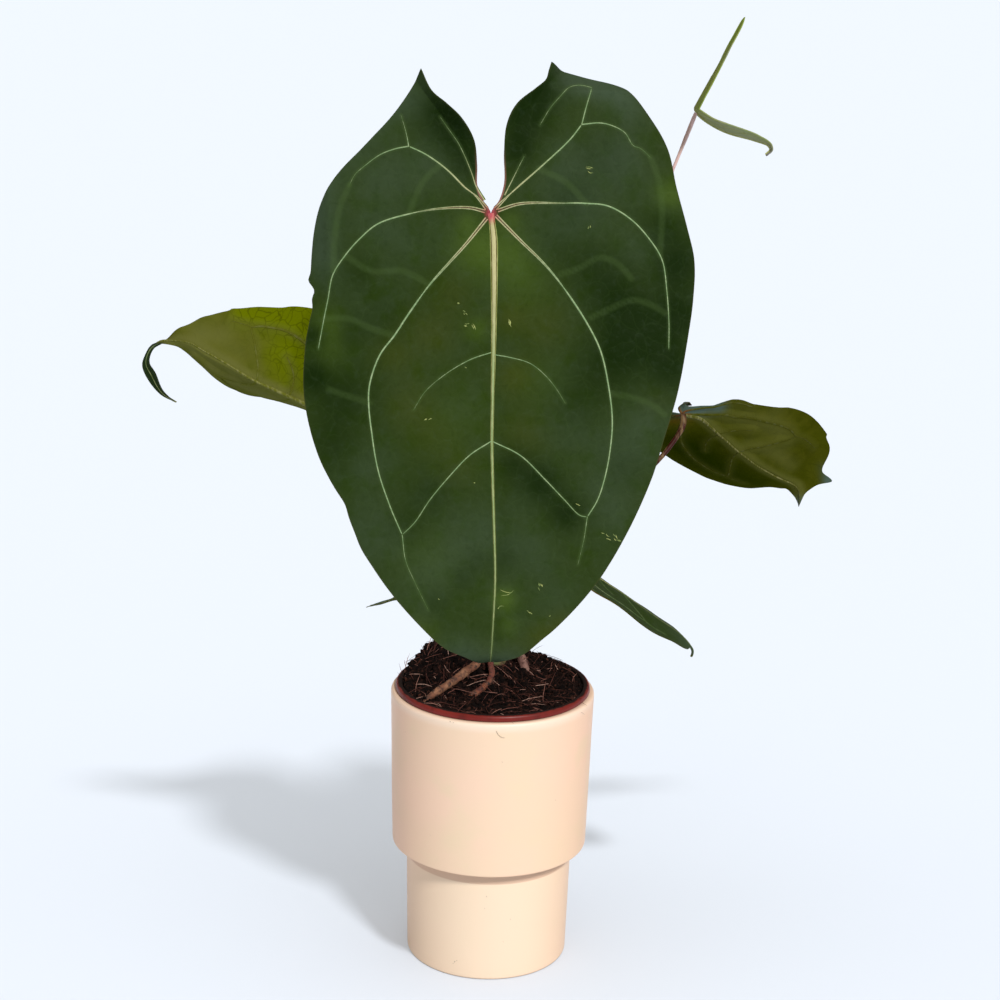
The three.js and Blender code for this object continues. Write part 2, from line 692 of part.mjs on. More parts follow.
// A point of the blade at a distance across one half (-1 left, 1 right) and along the midrib
function bladePoint(leaf, spine, half, across, along) {
  const { at, side, out } = spine(along, half);
  const which = half < 0 ? 0 : 1;
  const [foldStart, foldEnd = foldStart] = [leaf.fold[which]].flat();
  const down = along / leaf.span;
  const fold = THREE.MathUtils.lerp(foldStart, foldEnd, THREE.MathUtils.clamp(down, 0, 1)) * DEGREES;
  const bend = leaf.curl[which] * DEGREES;
  const end = fold + bend * across;
  const wide = Math.abs(bend) < 1e-6 ? across * Math.cos(fold) : (Math.sin(end) - Math.sin(fold)) / bend;
  const high = Math.abs(bend) < 1e-6 ? across * Math.sin(fold) : (Math.cos(fold) - Math.cos(end)) / bend;
  const [height, count, phase] = leaf.wave;
  const share = across / leaf.reach;
  const ripple = height * share * share * Math.sin(2 * Math.PI * (count * down + phase + 0.2 * half));
  return at
    .clone()
    .addScaledVector(side, half * wide)
    .addScaledVector(out, high + ripple);
}

function bladeNormal(leaf, spine, half, across, along) {
  if (across < 0.01 && along >= 0) return spine(along).out.clone();
  const small = 0.5;
  const low = Math.max(across - small, 0);
  const at = (x, y) => bladePoint(leaf, spine, half, x, y);
  const over = at(across + small, along).sub(at(low, along));
  const down = at(across, along + small).sub(at(across, along - small));
  return down.cross(over).multiplyScalar(half).normalize();
}

// A sheet of triangles made solid: every point has an upper and a lower place, and free edges get a wall
function thicken(upper, lower, faces) {
  const count = upper.length;
  const positions = [...upper, ...lower].flatMap((p) => [p.x, p.y, p.z]);
  const solidFaces = [];
  const edges = new Map();
  for (const [a, b, c] of faces) {
    if (a === b || b === c || c === a) continue;
    solidFaces.push(a, b, c, c + count, b + count, a + count);
    for (const [p, q] of [[a, b], [b, c], [c, a]]) edges.set(p + ":" + q, [p, q]);
  }
  for (const [p, q] of edges.values()) {
    if (edges.has(q + ":" + p)) continue;
    solidFaces.push(q, p, p + count, q, p + count, q + count);
  }
  const geometry = new THREE.BufferGeometry();
  geometry.setAttribute("position", new THREE.Float32BufferAttribute(positions, 3));
  geometry.setIndex(solidFaces);
  return geometry;
}

// One blade. The two halves share the midrib below the petiole, where a ridge stands out underneath.
function blade(leaf, grow = 0) {
  const spine = spineOf(leaf);
  const columns = leaf.columns ?? BLADE_COLUMNS;
  const ridgeColumn = RIDGE_HALF_WIDTH / leaf.reach;
  const upper = [];
  const lower = [];
  const faces = [];
  const shared = new Map();
  for (const half of [-1, 1]) {
    const stations = leaf.stations[half < 0 ? 0 : 1];
    const inner = new THREE.CatmullRomCurve3(stations.map(([a, b]) => new THREE.Vector3(a, b, 0)));
    const outer = new THREE.CatmullRomCurve3(stations.map(([, , c, d]) => new THREE.Vector3(c, d, 0)));
    const junctionRow = stations.findIndex(([a, b]) => a === 0 && b === 0);
    const rows = stations.length - 1;
    const grid = [];
    for (let row = 0; row <= rows; row++) {
      const from = inner.getPoint(row / rows);
      const to = outer.getPoint(row / rows);
      if (row >= junctionRow) from.x = 0;
      const line = [];
      for (let column = 0; column <= columns; column++) {
        const share = column === 1 ? ridgeColumn : column / columns;
        const across = THREE.MathUtils.lerp(from.x, to.x, share);
        const along = THREE.MathUtils.lerp(from.y, to.y, share);
        const onRib = column === 0 && row >= junctionRow && row < rows;
        let key = onRib ? row - junctionRow : row + ":" + column + ":" + half;
        if (row === 0) key = "lobe" + half;
        if (row === rows) key = "tip";
        if (shared.has(key)) {
          line.push(shared.get(key));
          continue;
        }
        const point = bladePoint(leaf, spine, half, across, along);
        const normal = bladeNormal(leaf, spine, half, across, along);
        const ridge = onRib ? THREE.MathUtils.lerp(RIDGE_AT_PETIOLE, RIDGE_AT_TIP, along / leaf.span) : 0;
        upper.push(point.clone().addScaledVector(normal, BLADE_THICKNESS / 2 + grow));
        lower.push(point.clone().addScaledVector(normal, -BLADE_THICKNESS / 2 - ridge - grow));
        line.push(upper.length - 1);
        shared.set(key, upper.length - 1);
      }
      grid.push(line);
    }
    for (let row = 0; row < rows; row++) {
      for (let column = 0; column < columns; column++) {
        const a = grid[row][column];
        const b = grid[row + 1][column];
        const c = grid[row + 1][column + 1];
        const d = grid[row][column + 1];
        const quad = [[a, b, c], [a, c, d]];
        for (const face of quad) faces.push(half > 0 ? face : face.reverse());
      }
    }
  }
  return thicken(upper, lower, faces).translate(...leaf.junction);
}

for (const leaf of LEAVES) {
  leaf.stations ??= Array(2).fill(heartStations(leaf.heart));
  leaf.reach = Math.max(...leaf.stations.flat().map((station) => station[2]));
  leaf.span = Math.max(...leaf.stations.flat().map((station) => station[3]));
}

// Assembly: pot, nursery pot, soil with plain holes for what grows in it, stem, roots and leaves
addPiece("cachepot", cachepot(), creamGlaze);
addPiece("nursery_pot", nurseryPot(), clayPlastic);

// The room that a blade needs in the end of its petiole: the blade, thicker and moved a little each way
function seatOf(leaf) {
  const thick = solidFrom(blade(leaf, GAP));
  const { side, out } = spineOf(leaf)(0);
  const down = side.clone().cross(out);
  const ways = [side, side.clone().negate(), down, down.clone().negate()];
  const moved = (way) => thick.translate(...way.multiplyScalar(GAP).toArray());
  return ways.reduce((room, way) => room.add(moved(way)), thick);
}

const stemHole = solidFrom(stem(GAP));
const rootHoles = ROOTS.map((root) => solidFrom(rootTube(root, GAP)));
const petioleTube = (leaf, grow = 0) =>
  solidFrom(stalk(leaf.petiole, leaf.radii, PETIOLE_SIDES, PETIOLE_STEPS, grow));
const leafSolids = LEAVES.map((leaf) => ({
  leaf,
  seat: seatOf(leaf),
  whole: petioleTube(leaf),
  clear: petioleTube(leaf, GAP),
}));
const soil = pottingMix([stemHole, ...rootHoles, ...leafSolids.map((made) => made.clear)]);
addPiece("potting_mix", geometryFrom(soil), darkSoil);
addPiece("stem", stem(), woodyStem);

let taken = stemHole;
for (const { leaf, seat, whole, clear } of leafSolids) {
  const petiole = largestBody(whole.subtract(taken).subtract(seat));
  addPiece("petiole_" + leaf.name, geometryFrom(petiole), petioleSkin);
  taken = taken.add(clear);
}
for (const [index, root] of ROOTS.entries()) {
  addPiece(root.name, geometryFrom(largestBody(solidFrom(rootTube(root)).subtract(taken))), rootSkin);
  taken = taken.add(rootHoles[index]);
}
for (const leaf of LEAVES) addPiece("blade_" + leaf.name, blade(leaf), velvetGreen);

export default plant;
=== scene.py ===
# A potted Anthurium papillilaminum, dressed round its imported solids: two pots, mix, stem, roots and leaves.
# Sizes are real millimetres, turned to metres where a mesh is made. The plant faces -Y from height 0 up.
import math
import random

import bmesh
import bpy
import numpy as np
from mathutils import Matrix, Vector, kdtree, noise


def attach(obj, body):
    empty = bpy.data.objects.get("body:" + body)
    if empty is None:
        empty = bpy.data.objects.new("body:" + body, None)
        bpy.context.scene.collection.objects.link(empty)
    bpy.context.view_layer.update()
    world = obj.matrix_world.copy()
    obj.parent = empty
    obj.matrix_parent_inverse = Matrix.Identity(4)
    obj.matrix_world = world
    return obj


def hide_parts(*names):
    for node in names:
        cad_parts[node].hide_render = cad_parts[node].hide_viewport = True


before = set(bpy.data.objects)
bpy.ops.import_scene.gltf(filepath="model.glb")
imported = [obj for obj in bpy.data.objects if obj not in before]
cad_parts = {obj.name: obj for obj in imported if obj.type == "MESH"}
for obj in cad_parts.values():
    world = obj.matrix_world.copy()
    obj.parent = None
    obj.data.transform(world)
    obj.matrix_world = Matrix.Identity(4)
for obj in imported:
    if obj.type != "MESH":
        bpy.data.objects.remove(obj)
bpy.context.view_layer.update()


# Cream pot
# Slip-cast ceramic in two tiers under a satin cream glaze, cast in one piece. It stands free on the table,
# and its rounded lip carries the nursery pot. The glaze has a few dark specks from the kiln.
MM = 0.001
POT_HEIGHT = 174
POT_TOP_RADIUS = 63
STEP_HEIGHT = 74
STEP_RADIUS = 61
LOWER_TOP_RADIUS = 52
FOOT_RADIUS = 50.5
POT_WALL = 4.8
POT_LIP = 2.4
POT_FLOOR = 6
INNER_TOP_RADIUS = POT_TOP_RADIUS - POT_WALL
INNER_LOW_RADIUS = LOWER_TOP_RADIUS - POT_WALL - 0.7


def daylight(red, green, blue):
    """A colour as the eye reads it, 0 to 255, as the linear colour that a node takes."""
    parts = [part / 255 for part in (red, green, blue)]
    return (*[part / 12.92 if part < 0.04 else ((part + 0.055) / 1.055) ** 2.4 for part in parts], 1.0)


def put(tree, kind, sockets=None, **settings):
    """Adds a node. sockets gives each input a value, or another node's output to be fed from."""
    node = tree.nodes.new(kind)
    for name, value in settings.items():
        setattr(node, name, value)
    for key, value in (sockets or {}).items():
        if isinstance(value, bpy.types.NodeSocket):
            tree.links.new(value, node.inputs[key])
        else:
            node.inputs[key].default_value = value
    return node


def painted(colour):
    """A colour's node output as it is, or three numbers of daylight as a linear colour."""
    return colour if isinstance(colour, bpy.types.NodeSocket) else daylight(*colour)


def blended(tree, share, first, second):
    sockets = {0: share, 6: painted(first), 7: painted(second)}
    return put(tree, "ShaderNodeMix", sockets, data_type="RGBA").outputs[2]


def layered(tree, colour, *layers):
    """Lays more colours over a colour in turn, each given as (share, colour)."""
    for share, shade in layers:
        colour = blended(tree, share, colour, shade)
    return colour


def ranged(tree, value, low, high, to_low=0.0, to_high=1.0):
    sockets = {"Value": value, "From Min": low, "From Max": high, "To Min": to_low, "To Max": to_high}
    return put(tree, "ShaderNodeMapRange", sockets, interpolation_type="SMOOTHSTEP").outputs[0]


def worked(tree, way, first, second):
    return put(tree, "ShaderNodeMath", {0: first, 1: second}, operation=way).outputs[0]


def times(tree, first, second):
    return worked(tree, "MULTIPLY", first, second)


def plus(tree, first, second):
    return worked(tree, "ADD", first, second)


def moved(tree, way, sockets):
    """Works on vectors."""
    return put(tree, "ShaderNodeVectorMath", sockets, operation=way).outputs[0]


def new_group(name, inputs, outputs, kind_of_tree="ShaderNodeTree"):
    """A node group with named inputs, each (name, kind, value), and named outputs, each (name, kind)."""
    tree = bpy.data.node_groups.new(name, kind_of_tree)
    for label, kind, value in inputs:
        socket = tree.interface.new_socket(label, in_out="INPUT", socket_type="NodeSocket" + kind)
        if value is not None:
            socket.default_value = value
    for label, kind in outputs:
        tree.interface.new_socket(label, in_out="OUTPUT", socket_type="NodeSocket" + kind)
    return tree, tree.nodes.new("NodeGroupInput").outputs, tree.nodes.new("NodeGroupOutput").inputs


def use_group(tree, group, sockets):
    return put(tree, "ShaderNodeGroup", sockets, node_tree=group).outputs


def clouds(tree, place, scale, detail):
    """Noise from 0 to 1."""
    return put(tree, "ShaderNodeTexNoise", {"Vector": place, "Scale": scale, "Detail": detail}).outputs[0]


def height_of(tree, place):
    return put(tree, "ShaderNodeSeparateXYZ", {0: place}).outputs["Z"]


def new_finish(name, roughness, **fixed):
    """A material with its Principled node. fixed holds what is the same all over, by socket name."""
    material = bpy.data.materials.new(name)
    material.use_nodes = True
    tree = material.node_tree
    skin = tree.nodes["Principled BSDF"]
    skin.inputs["Roughness"].default_value = roughness
    for socket, value in fixed.items():
        skin.inputs[socket.replace("_", " ")].default_value = value
    return material, tree, skin


def object_place(tree):
    return tree.nodes.new("ShaderNodeTexCoord").outputs["Object"]


def coloured(tree, skin, colour):
    tree.links.new(colour, skin.inputs["Base Color"])


def bumped(tree, skin, height, strength, distance):
    """Raises the finish where the height is large, by up to the distance in metres."""
    bump = put(tree, "ShaderNodeBump", {"Height": height, "Strength": strength, "Distance": distance})
    tree.links.new(bump.outputs[0], skin.inputs["Normal"])


# Soft patches of three colours, as glaze, bark and leaves have
soft_patches, given, out = new_group(
    "soft patches",
    [("Vector", "Vector", None), ("Main", "Color", (1, 1, 1, 1)), ("Second", "Color", (1, 1, 1, 1)),
     ("Third", "Color", (1, 1, 1, 1)), ("Scale", "Float", 10.0)],
    [("Colour", "Color"), ("Spread", "Float")],
)
wide_noise = clouds(soft_patches, given["Vector"], given["Scale"], 2.0)
tight_noise = put(soft_patches, "ShaderNodeTexNoise", {
    "Vector": given["Vector"], "W": 3.7, "Scale": times(soft_patches, given["Scale"], 2.3), "Detail": 3.0,
}, noise_dimensions="4D").outputs[0]
three_colours = layered(
    soft_patches, given["Main"],
    (ranged(soft_patches, wide_noise, 0.4, 0.64), given["Second"]),
    (ranged(soft_patches, tight_noise, 0.48, 0.7), given["Third"]),
)
soft_patches.links.new(three_colours, out["Colour"])
soft_patches.links.new(tight_noise, out["Spread"])


def patched(tree, place, scale, main, second, third):
    colours = {"Main": painted(main), "Second": painted(second), "Third": painted(third)}
    return use_group(tree, soft_patches, {"Vector": place, "Scale": scale, **colours})


# Scattered specks of uneven size: kiln specks, lenticels, sun marks
specks, given, out = new_group(
    "specks",
    [("Vector", "Vector", None), ("Scale", "Float", 100.0), ("Size", "Float", 0.2), ("Share", "Float", 0.3)],
    [("Mask", "Float")],
)
cells = put(specks, "ShaderNodeTexVoronoi", {"Vector": given["Vector"], "Scale": given["Scale"]})
lots = put(specks, "ShaderNodeSeparateColor", {"Color": cells.outputs["Color"]})
chosen = worked(specks, "LESS_THAN", lots.outputs[0], given["Share"])
reach = times(specks, given["Size"], ranged(specks, lots.outputs[1], 0.0, 1.0, 0.3, 1.0))
near = worked(specks, "SUBTRACT", 1.0, worked(specks, "DIVIDE", cells.outputs["Distance"], reach))
inside = ranged(specks, near, 0.0, 0.35)
specks.links.new(times(specks, inside, chosen), out["Mask"])


def rounded(start, corner, end, steps=7):
    """Points of a rounded edge of a profile."""
    shares = [step / steps for step in range(steps + 1)]
    return [
        tuple((1 - s) ** 2 * a + 2 * s * (1 - s) * b + s * s * c for a, b, c in zip(start, corner, end))
        for s in shares
    ]


def around(sides):
    """Level directions all the way round."""
    angles = [2 * math.pi * side / sides for side in range(sides)]
    return [Vector((math.cos(angle), math.sin(angle), 0)) for angle in angles]


def close_rings(shape, rings):
    """Faces from each ring of corners to the next. A ring of one corner is a pole."""
    for low, high in zip(rings, rings[1:]):
        sides = max(len(low), len(high))
        for side in range(sides):
            after = (side + 1) % sides
            lower = [low[side % len(low)], low[after % len(low)]]
            upper = [high[after % len(high)], high[side % len(high)]]
            shape.faces.new(list(dict.fromkeys(lower + upper)))


def turned(name, profile, sides, longest=3.5, unevenness=0.0):
    """A shape turned from (radius, height) points, from under its centre round to its floor's centre."""
    line = [profile[0]]
    for start, end in zip(profile, profile[1:]):
        pieces = max(1, math.ceil(math.dist(start, end) / longest))
        for piece in range(1, pieces + 1):
            share = piece / pieces
            line.append(tuple(a + (b - a) * share for a, b in zip(start, end)))
    shape = bmesh.new()
    rings = []
    for radius, height in line:
        ring = []
        for way in around(sides if radius > 0 else 1):
            swell = unevenness * noise.noise(Vector((way.x * 1.6, way.y * 1.6, height / 45)))
            place = way * (radius + swell * min(1, radius / 20)) + Vector((0, 0, height))
            ring.append(shape.verts.new(place * MM))
        rings.append(ring)
    close_rings(shape, rings)
    return finished(name, shape)


def placed(name, data):
    piece = bpy.data.objects.new(name, data)
    bpy.context.scene.collection.objects.link(piece)
    return piece


def finished(name, shape, sharp=40):
    """Makes the object from a bmesh, smooth but for edges sharper than that many degrees."""
    mesh = bpy.data.meshes.new(name)
    shape.to_mesh(mesh)
    shape.free()
    mesh.shade_smooth()
    mesh.set_sharp_from_angle(angle=math.radians(sharp))
    return placed(name, mesh)


def settle(piece, slot, material, *nodes):
    """Gives a piece its finish, hides the solids that it stands for and fixes it to the plant. slot is not
    used.
    """
    if material is not None:
        piece.data.materials.clear()
        piece.data.materials.append(material)
    if nodes:
        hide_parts(*nodes)
    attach(piece, "root")


pot_profile = [
    (0, 0),
    *rounded((FOOT_RADIUS - 1.5, 0), (FOOT_RADIUS, 0), (FOOT_RADIUS + 0.03, 1.5)),
    *rounded((LOWER_TOP_RADIUS - 0.02, STEP_HEIGHT - 0.8), (LOWER_TOP_RADIUS, STEP_HEIGHT),
             (LOWER_TOP_RADIUS + 0.8, STEP_HEIGHT), 4),
    *rounded((STEP_RADIUS - 1.2, STEP_HEIGHT), (STEP_RADIUS, STEP_HEIGHT),
             (STEP_RADIUS + 0.02, STEP_HEIGHT + 1.2)),
    *rounded((POT_TOP_RADIUS, POT_HEIGHT - POT_LIP), (POT_TOP_RADIUS, POT_HEIGHT),
             (POT_TOP_RADIUS - POT_LIP, POT_HEIGHT), 10),
    *rounded((INNER_TOP_RADIUS + 1, POT_HEIGHT), (INNER_TOP_RADIUS, POT_HEIGHT),
             (INNER_TOP_RADIUS, POT_HEIGHT - 1.5)),
    (INNER_TOP_RADIUS - 2, STEP_HEIGHT + 9),
    (INNER_LOW_RADIUS, STEP_HEIGHT + 3),
    *rounded((INNER_LOW_RADIUS - 1.5, POT_FLOOR + 3), (INNER_LOW_RADIUS - 1.6, POT_FLOOR),
             (INNER_LOW_RADIUS - 5, POT_FLOOR)),
    (0, POT_FLOOR),
]
cream_pot = turned("cream_pot", pot_profile, 192, unevenness=0.16)

# The clear top glaze is faintly warm, and warmest where it is looked through at a slant
cream_glaze, tree, skin = new_finish(
    "cream glaze", 0.42, Coat_Weight=1.0, Coat_Roughness=0.35, Coat_IOR=1.15,
    Coat_Tint=(0.97, 0.84, 0.76, 1.0),
)
place = object_place(tree)
glaze = patched(tree, place, 16.0, (232, 219, 200), (235, 218, 202), (229, 220, 198))
fine_specks = use_group(tree, specks, {"Vector": place, "Scale": 95.0, "Size": 0.045, "Share": 0.16})
large_specks = use_group(tree, specks, {"Vector": place, "Scale": 24.0, "Size": 0.022, "Share": 0.1})
speck_mask = worked(tree, "MAXIMUM", fine_specks["Mask"], large_specks["Mask"])
height = height_of(tree, place)
below_step = ranged(tree, height, STEP_HEIGHT * MM, (STEP_HEIGHT - 0.6) * MM)
painted_lip_highlight = ranged(tree, height, (POT_HEIGHT - 7) * MM, (POT_HEIGHT - 2) * MM, 0.0, 0.7)
painted_step_shadow = ranged(tree, height, (STEP_HEIGHT - 9.4) * MM, (STEP_HEIGHT - 8.6) * MM)
# The glaze is a little paler on the lower tier. The lip is paler still, a painted highlight, and a band some
# 9 mm deep under the step is darkened, the painted shadow of the upper tier's overhang
coloured(tree, skin, layered(
    tree, glaze["Colour"],
    (times(tree, speck_mask, 0.6), (120, 88, 66)),
    (times(tree, below_step, 0.8), (236, 230, 213)),
    (painted_lip_highlight, (238, 234, 226)),
    (times(tree, times(tree, painted_step_shadow, below_step), 0.5), (184, 150, 130)),
))
tree.links.new(ranged(tree, glaze["Spread"], 0.3, 0.7, 0.36, 0.5), skin.inputs["Roughness"])
bumped(tree, skin, clouds(tree, place, 260.0, 3.0), 0.05, 0.0004)
settle(cream_pot, "cream_ceramic", cream_glaze, "cachepot")


# Nursery pot
# Thin clay-red polypropylene, injection moulded with a rolled rim and six drain holes. It hangs by the rim
# on the cream pot's lip. Its inside is drawn near black, as soil dust and painted shade, and the rim is
# scuffed.
GAP = 0.3
NURSERY_RIM_RADIUS = 60.3
NURSERY_RIM_HEIGHT = 3.6
NURSERY_TOP_RADIUS = 57.4
NURSERY_BASE_RADIUS = 44
NURSERY_BASE_HEIGHT = 72
NURSERY_WALL = 1.2
DRAIN_HOLES = 6
DRAIN_CIRCLE = 30
DRAIN_RADIUS = 4
DRILL_DEPTH = 12
BASE_RING = (36, 38)
RIM_UNDER = POT_HEIGHT + GAP
RIM_TOP = RIM_UNDER + NURSERY_RIM_HEIGHT
NURSERY_INSIDE = NURSERY_TOP_RADIUS - NURSERY_WALL
NURSERY_FLOOR = NURSERY_BASE_HEIGHT + 2.5


def nursery_radius(height):
    share = (height - NURSERY_BASE_HEIGHT) / (POT_HEIGHT - NURSERY_BASE_HEIGHT)
    return NURSERY_BASE_RADIUS + (NURSERY_TOP_RADIUS - NURSERY_BASE_RADIUS) * share


nursery_profile = [
    (0, NURSERY_BASE_HEIGHT + 1),
    (BASE_RING[0], NURSERY_BASE_HEIGHT + 1),
    (BASE_RING[1], NURSERY_BASE_HEIGHT),
    *rounded((NURSERY_BASE_RADIUS - 1.5, NURSERY_BASE_HEIGHT), (NURSERY_BASE_RADIUS, NURSERY_BASE_HEIGHT),
             (nursery_radius(NURSERY_BASE_HEIGHT + 2), NURSERY_BASE_HEIGHT + 2), 4),
    (NURSERY_TOP_RADIUS, RIM_UNDER),
    (NURSERY_RIM_RADIUS - 0.5, RIM_UNDER),
    *rounded((NURSERY_RIM_RADIUS, RIM_UNDER + 0.6), (NURSERY_RIM_RADIUS, RIM_TOP),
             (NURSERY_RIM_RADIUS - 1.8, RIM_TOP)),
    *rounded((NURSERY_INSIDE + 0.9, RIM_TOP), (NURSERY_INSIDE, RIM_TOP),
             (NURSERY_INSIDE - 0.02, RIM_TOP - 1.2)),
    (nursery_radius(NURSERY_FLOOR + 1) - NURSERY_WALL, NURSERY_FLOOR + 0.5),
    (BASE_RING[1], NURSERY_FLOOR),
    (0, NURSERY_FLOOR),
]
clay_pot = turned("clay_pot", nursery_profile, 160, longest=5, unevenness=0.1)
drills = bmesh.new()
for way in around(DRAIN_HOLES):
    centre = way * DRAIN_CIRCLE + Vector((0, 0, NURSERY_BASE_HEIGHT))
    bmesh.ops.create_cone(drills, cap_ends=True, segments=28, radius1=DRAIN_RADIUS * MM,
                          radius2=DRAIN_RADIUS * MM, depth=DRILL_DEPTH * MM,
                          matrix=Matrix.Translation(centre * MM))
drill_set = finished("drill_set", drills)
drilling = clay_pot.modifiers.new("drilling", "BOOLEAN")
drilling.object = drill_set
drilling.solver = "EXACT"


def frozen(piece):
    """Turns what the piece's modifiers make into its own plain mesh."""
    depsgraph = bpy.context.evaluated_depsgraph_get()
    mesh = bpy.data.meshes.new_from_object(piece.evaluated_get(depsgraph), preserve_all_data_layers=True,
                                           depsgraph=depsgraph)
    piece.modifiers.clear()
    piece.data = mesh
    return piece


frozen(clay_pot)
bpy.data.objects.remove(drill_set)

clay_plastic, tree, skin = new_finish("clay red plastic", 0.42, Specular_IOR_Level=0.2)
place = object_place(tree)
clay = patched(tree, place, 40.0, (106, 30, 25), (117, 37, 30), (88, 25, 21))
level = moved(tree, "MULTIPLY", {0: place, 1: (1.0, 1.0, 0.0)})
from_axis = put(tree, "ShaderNodeVectorMath", {0: level}, operation="LENGTH").outputs["Value"]
uneven_edge = times(tree, clouds(tree, place, 210.0, 5.0), 2.4 * MM)
# Inside the rim the plastic turns near black: soil dust, and painted shade inside the pot
inner_dust_and_shade = ranged(tree, plus(tree, from_axis, uneven_edge), (NURSERY_RIM_RADIUS + 0.3) * MM,
                    (NURSERY_RIM_RADIUS - 0.9) * MM)
coloured(tree, skin, blended(tree, inner_dust_and_shade, clay["Colour"], (24, 11, 8)))
dullness = ranged(tree, plus(tree, clay["Spread"], inner_dust_and_shade), 0.4, 1.4, 0.36, 0.95)
tree.links.new(dullness, skin.inputs["Roughness"])
bumped(tree, skin, clouds(tree, place, 900.0, 2.0), 0.15, 0.0002)
settle(clay_pot, "clay_red_plastic", clay_plastic, "nursery_pot")


# Potting mix
# Peat and coir, pressed into the nursery pot by hand and mounded round the stem. The body is one dark mass,
# with loose crumbs and long coir fibres lying on it.
SOIL_LEVEL = 175
MOUND_CENTRE = (-18, 20)
MOUND_HEIGHT = 28
MOUND_WIDTHS = (18, 18, 20)
BANK_HEIGHT = 2.2
BACK_RISE = 2.5
CALM_EDGE = 56
CALM_WIDTH = 20
COARSE_CRUMB = 5.5
FINE_CRUMB = 1.9
SOIL_RADIUS = 55.2
SOIL_RINGS = 84
SOIL_SIDES = 220


def smooth_step(value, low, high):
    share = np.clip((value - low) / (high - low), 0, 1)
    return share * share * (3 - 2 * share)


def ground(x, y):
    """Height of the mix's surface."""
    across, front, back = MOUND_WIDTHS
    side = (x - MOUND_CENTRE[0]) / across
    depth = (y - MOUND_CENTRE[1]) / np.where(y < MOUND_CENTRE[1], front, back)
    mound = MOUND_HEIGHT * np.exp(-0.5 * (side**2 + depth**2))
    lumps = 1.3 * np.sin(x * 0.31 + 1.7 * np.sin(y * 0.13)) * np.cos(y * 0.27 + 0.6)
    lumps += 0.9 * np.sin(x * 0.62 + y * 0.41 + 2.1)
    lumps += 0.7 * np.cos(y * 0.83 - x * 0.35)
    reach = np.hypot(x, y)
    calm = np.clip((CALM_EDGE - reach) / CALM_WIDTH, 0.3, 1)
    banked = BANK_HEIGHT * smooth_step(reach, 40, 54) * smooth_step(y, -12, 22)
    return SOIL_LEVEL + BACK_RISE * smooth_step(y, 5, 50) + mound + lumps * calm + banked


def crumbled(x, y):
    """The fine unevenness of the mix, in millimetres."""
    coarse = noise.noise(Vector((x, y, 0)) / COARSE_CRUMB)
    fine = noise.fractal(Vector((x, y, 9)) / FINE_CRUMB, 0.7, 2.2, 3)
    return 1.5 * coarse + 0.75 * fine


mix = bmesh.new()
rings = []
for ring in range(SOIL_RINGS + 1):
    radius = SOIL_RADIUS * (1 - ring / SOIL_RINGS)
    line = []
    for way in around(SOIL_SIDES if radius > 0.01 else 1):
        x, y, _ = way * radius
        z = float(ground(np.array(x), np.array(y))) + crumbled(x, y)
        line.append(mix.verts.new(Vector((x, y, z)) * MM))
    rings.append(line)
for height in (SOIL_LEVEL - 8, (SOIL_LEVEL + NURSERY_FLOOR) / 2, NURSERY_FLOOR + 4, NURSERY_FLOOR + GAP):
    radius = nursery_radius(height) - NURSERY_WALL - 0.5
    radius -= 6 if height < NURSERY_FLOOR + 1 else 0
    lift = Vector((0, 0, height))
    rings.insert(0, [mix.verts.new((way * radius + lift) * MM) for way in around(SOIL_SIDES)])
close_rings(mix, rings)
mix.faces.new(list(reversed(rings[0])))
soil = finished("soil", mix, sharp=75)

# Grit that shows in soil, bark and roots: light and dark crumbs with a bump height
grit, given, out = new_group(
    "grit",
    [("Vector", "Vector", None), ("Dark", "Color", (0, 0, 0, 1)), ("Brown", "Color", (0.1, 0.1, 0.1, 1)),
     ("Light", "Color", (0.5, 0.5, 0.5, 1)), ("Scale", "Float", 300.0)],
    [("Colour", "Color"), ("Height", "Float")],
)
grains = put(grit, "ShaderNodeTexVoronoi", {"Vector": given["Vector"], "Scale": given["Scale"]})
shades = put(grit, "ShaderNodeSeparateColor", {"Color": grains.outputs["Color"]})
haze = clouds(grit, given["Vector"], times(grit, given["Scale"], 0.3), 4.0)
browned = blended(grit, ranged(grit, plus(grit, shades.outputs[0], haze), 0.75, 1.35),
                  given["Dark"], given["Brown"])
lit = blended(grit, ranged(grit, shades.outputs[1], 0.86, 0.99), browned, given["Light"])
grit.links.new(lit, out["Colour"])
grit.links.new(worked(grit, "SUBTRACT", haze, grains.outputs["Distance"]), out["Height"])


def gritty(tree, place, scale, dark, brown, light):
    colours = {"Dark": painted(dark), "Brown": painted(brown), "Light": painted(light)}
    return use_group(tree, grit, {"Vector": place, "Scale": scale, **colours})


def soil_finish(name, scale, dark, brown, light, bump_strength, bump_distance):
    finish, tree, skin = new_finish(name, 0.95, Specular_IOR_Level=0.1)
    mixed = gritty(tree, object_place(tree), scale, dark, brown, light)
    coloured(tree, skin, mixed["Colour"])
    bumped(tree, skin, mixed["Height"], bump_strength, bump_distance)
    return finish


peat = soil_finish("peat and coir", 620.0, (7, 4, 4), (22, 11, 8), (58, 33, 25), 0.8, 0.0008)
settle(soil, "potting_mix", peat, "potting_mix")


def growing_tree(name, inputs):
    """A Geometry Nodes tree that takes a geometry and the named inputs, each (name, kind, value)."""
    inputs = [("Geometry", "Geometry", None), *inputs]
    return new_group(name, inputs, [("Geometry", "Geometry")], "GeometryNodeTree")


def end_tree(tree, geometry, given, out):
    """Ends a tree with real geometry in the material given."""
    real = put(tree, "GeometryNodeRealizeInstances", {"Geometry": geometry})
    clad = put(tree, "GeometryNodeSetMaterial", {"Geometry": real.outputs[0], "Material": given["Material"]})
    tree.links.new(clad.outputs[0], out["Geometry"])


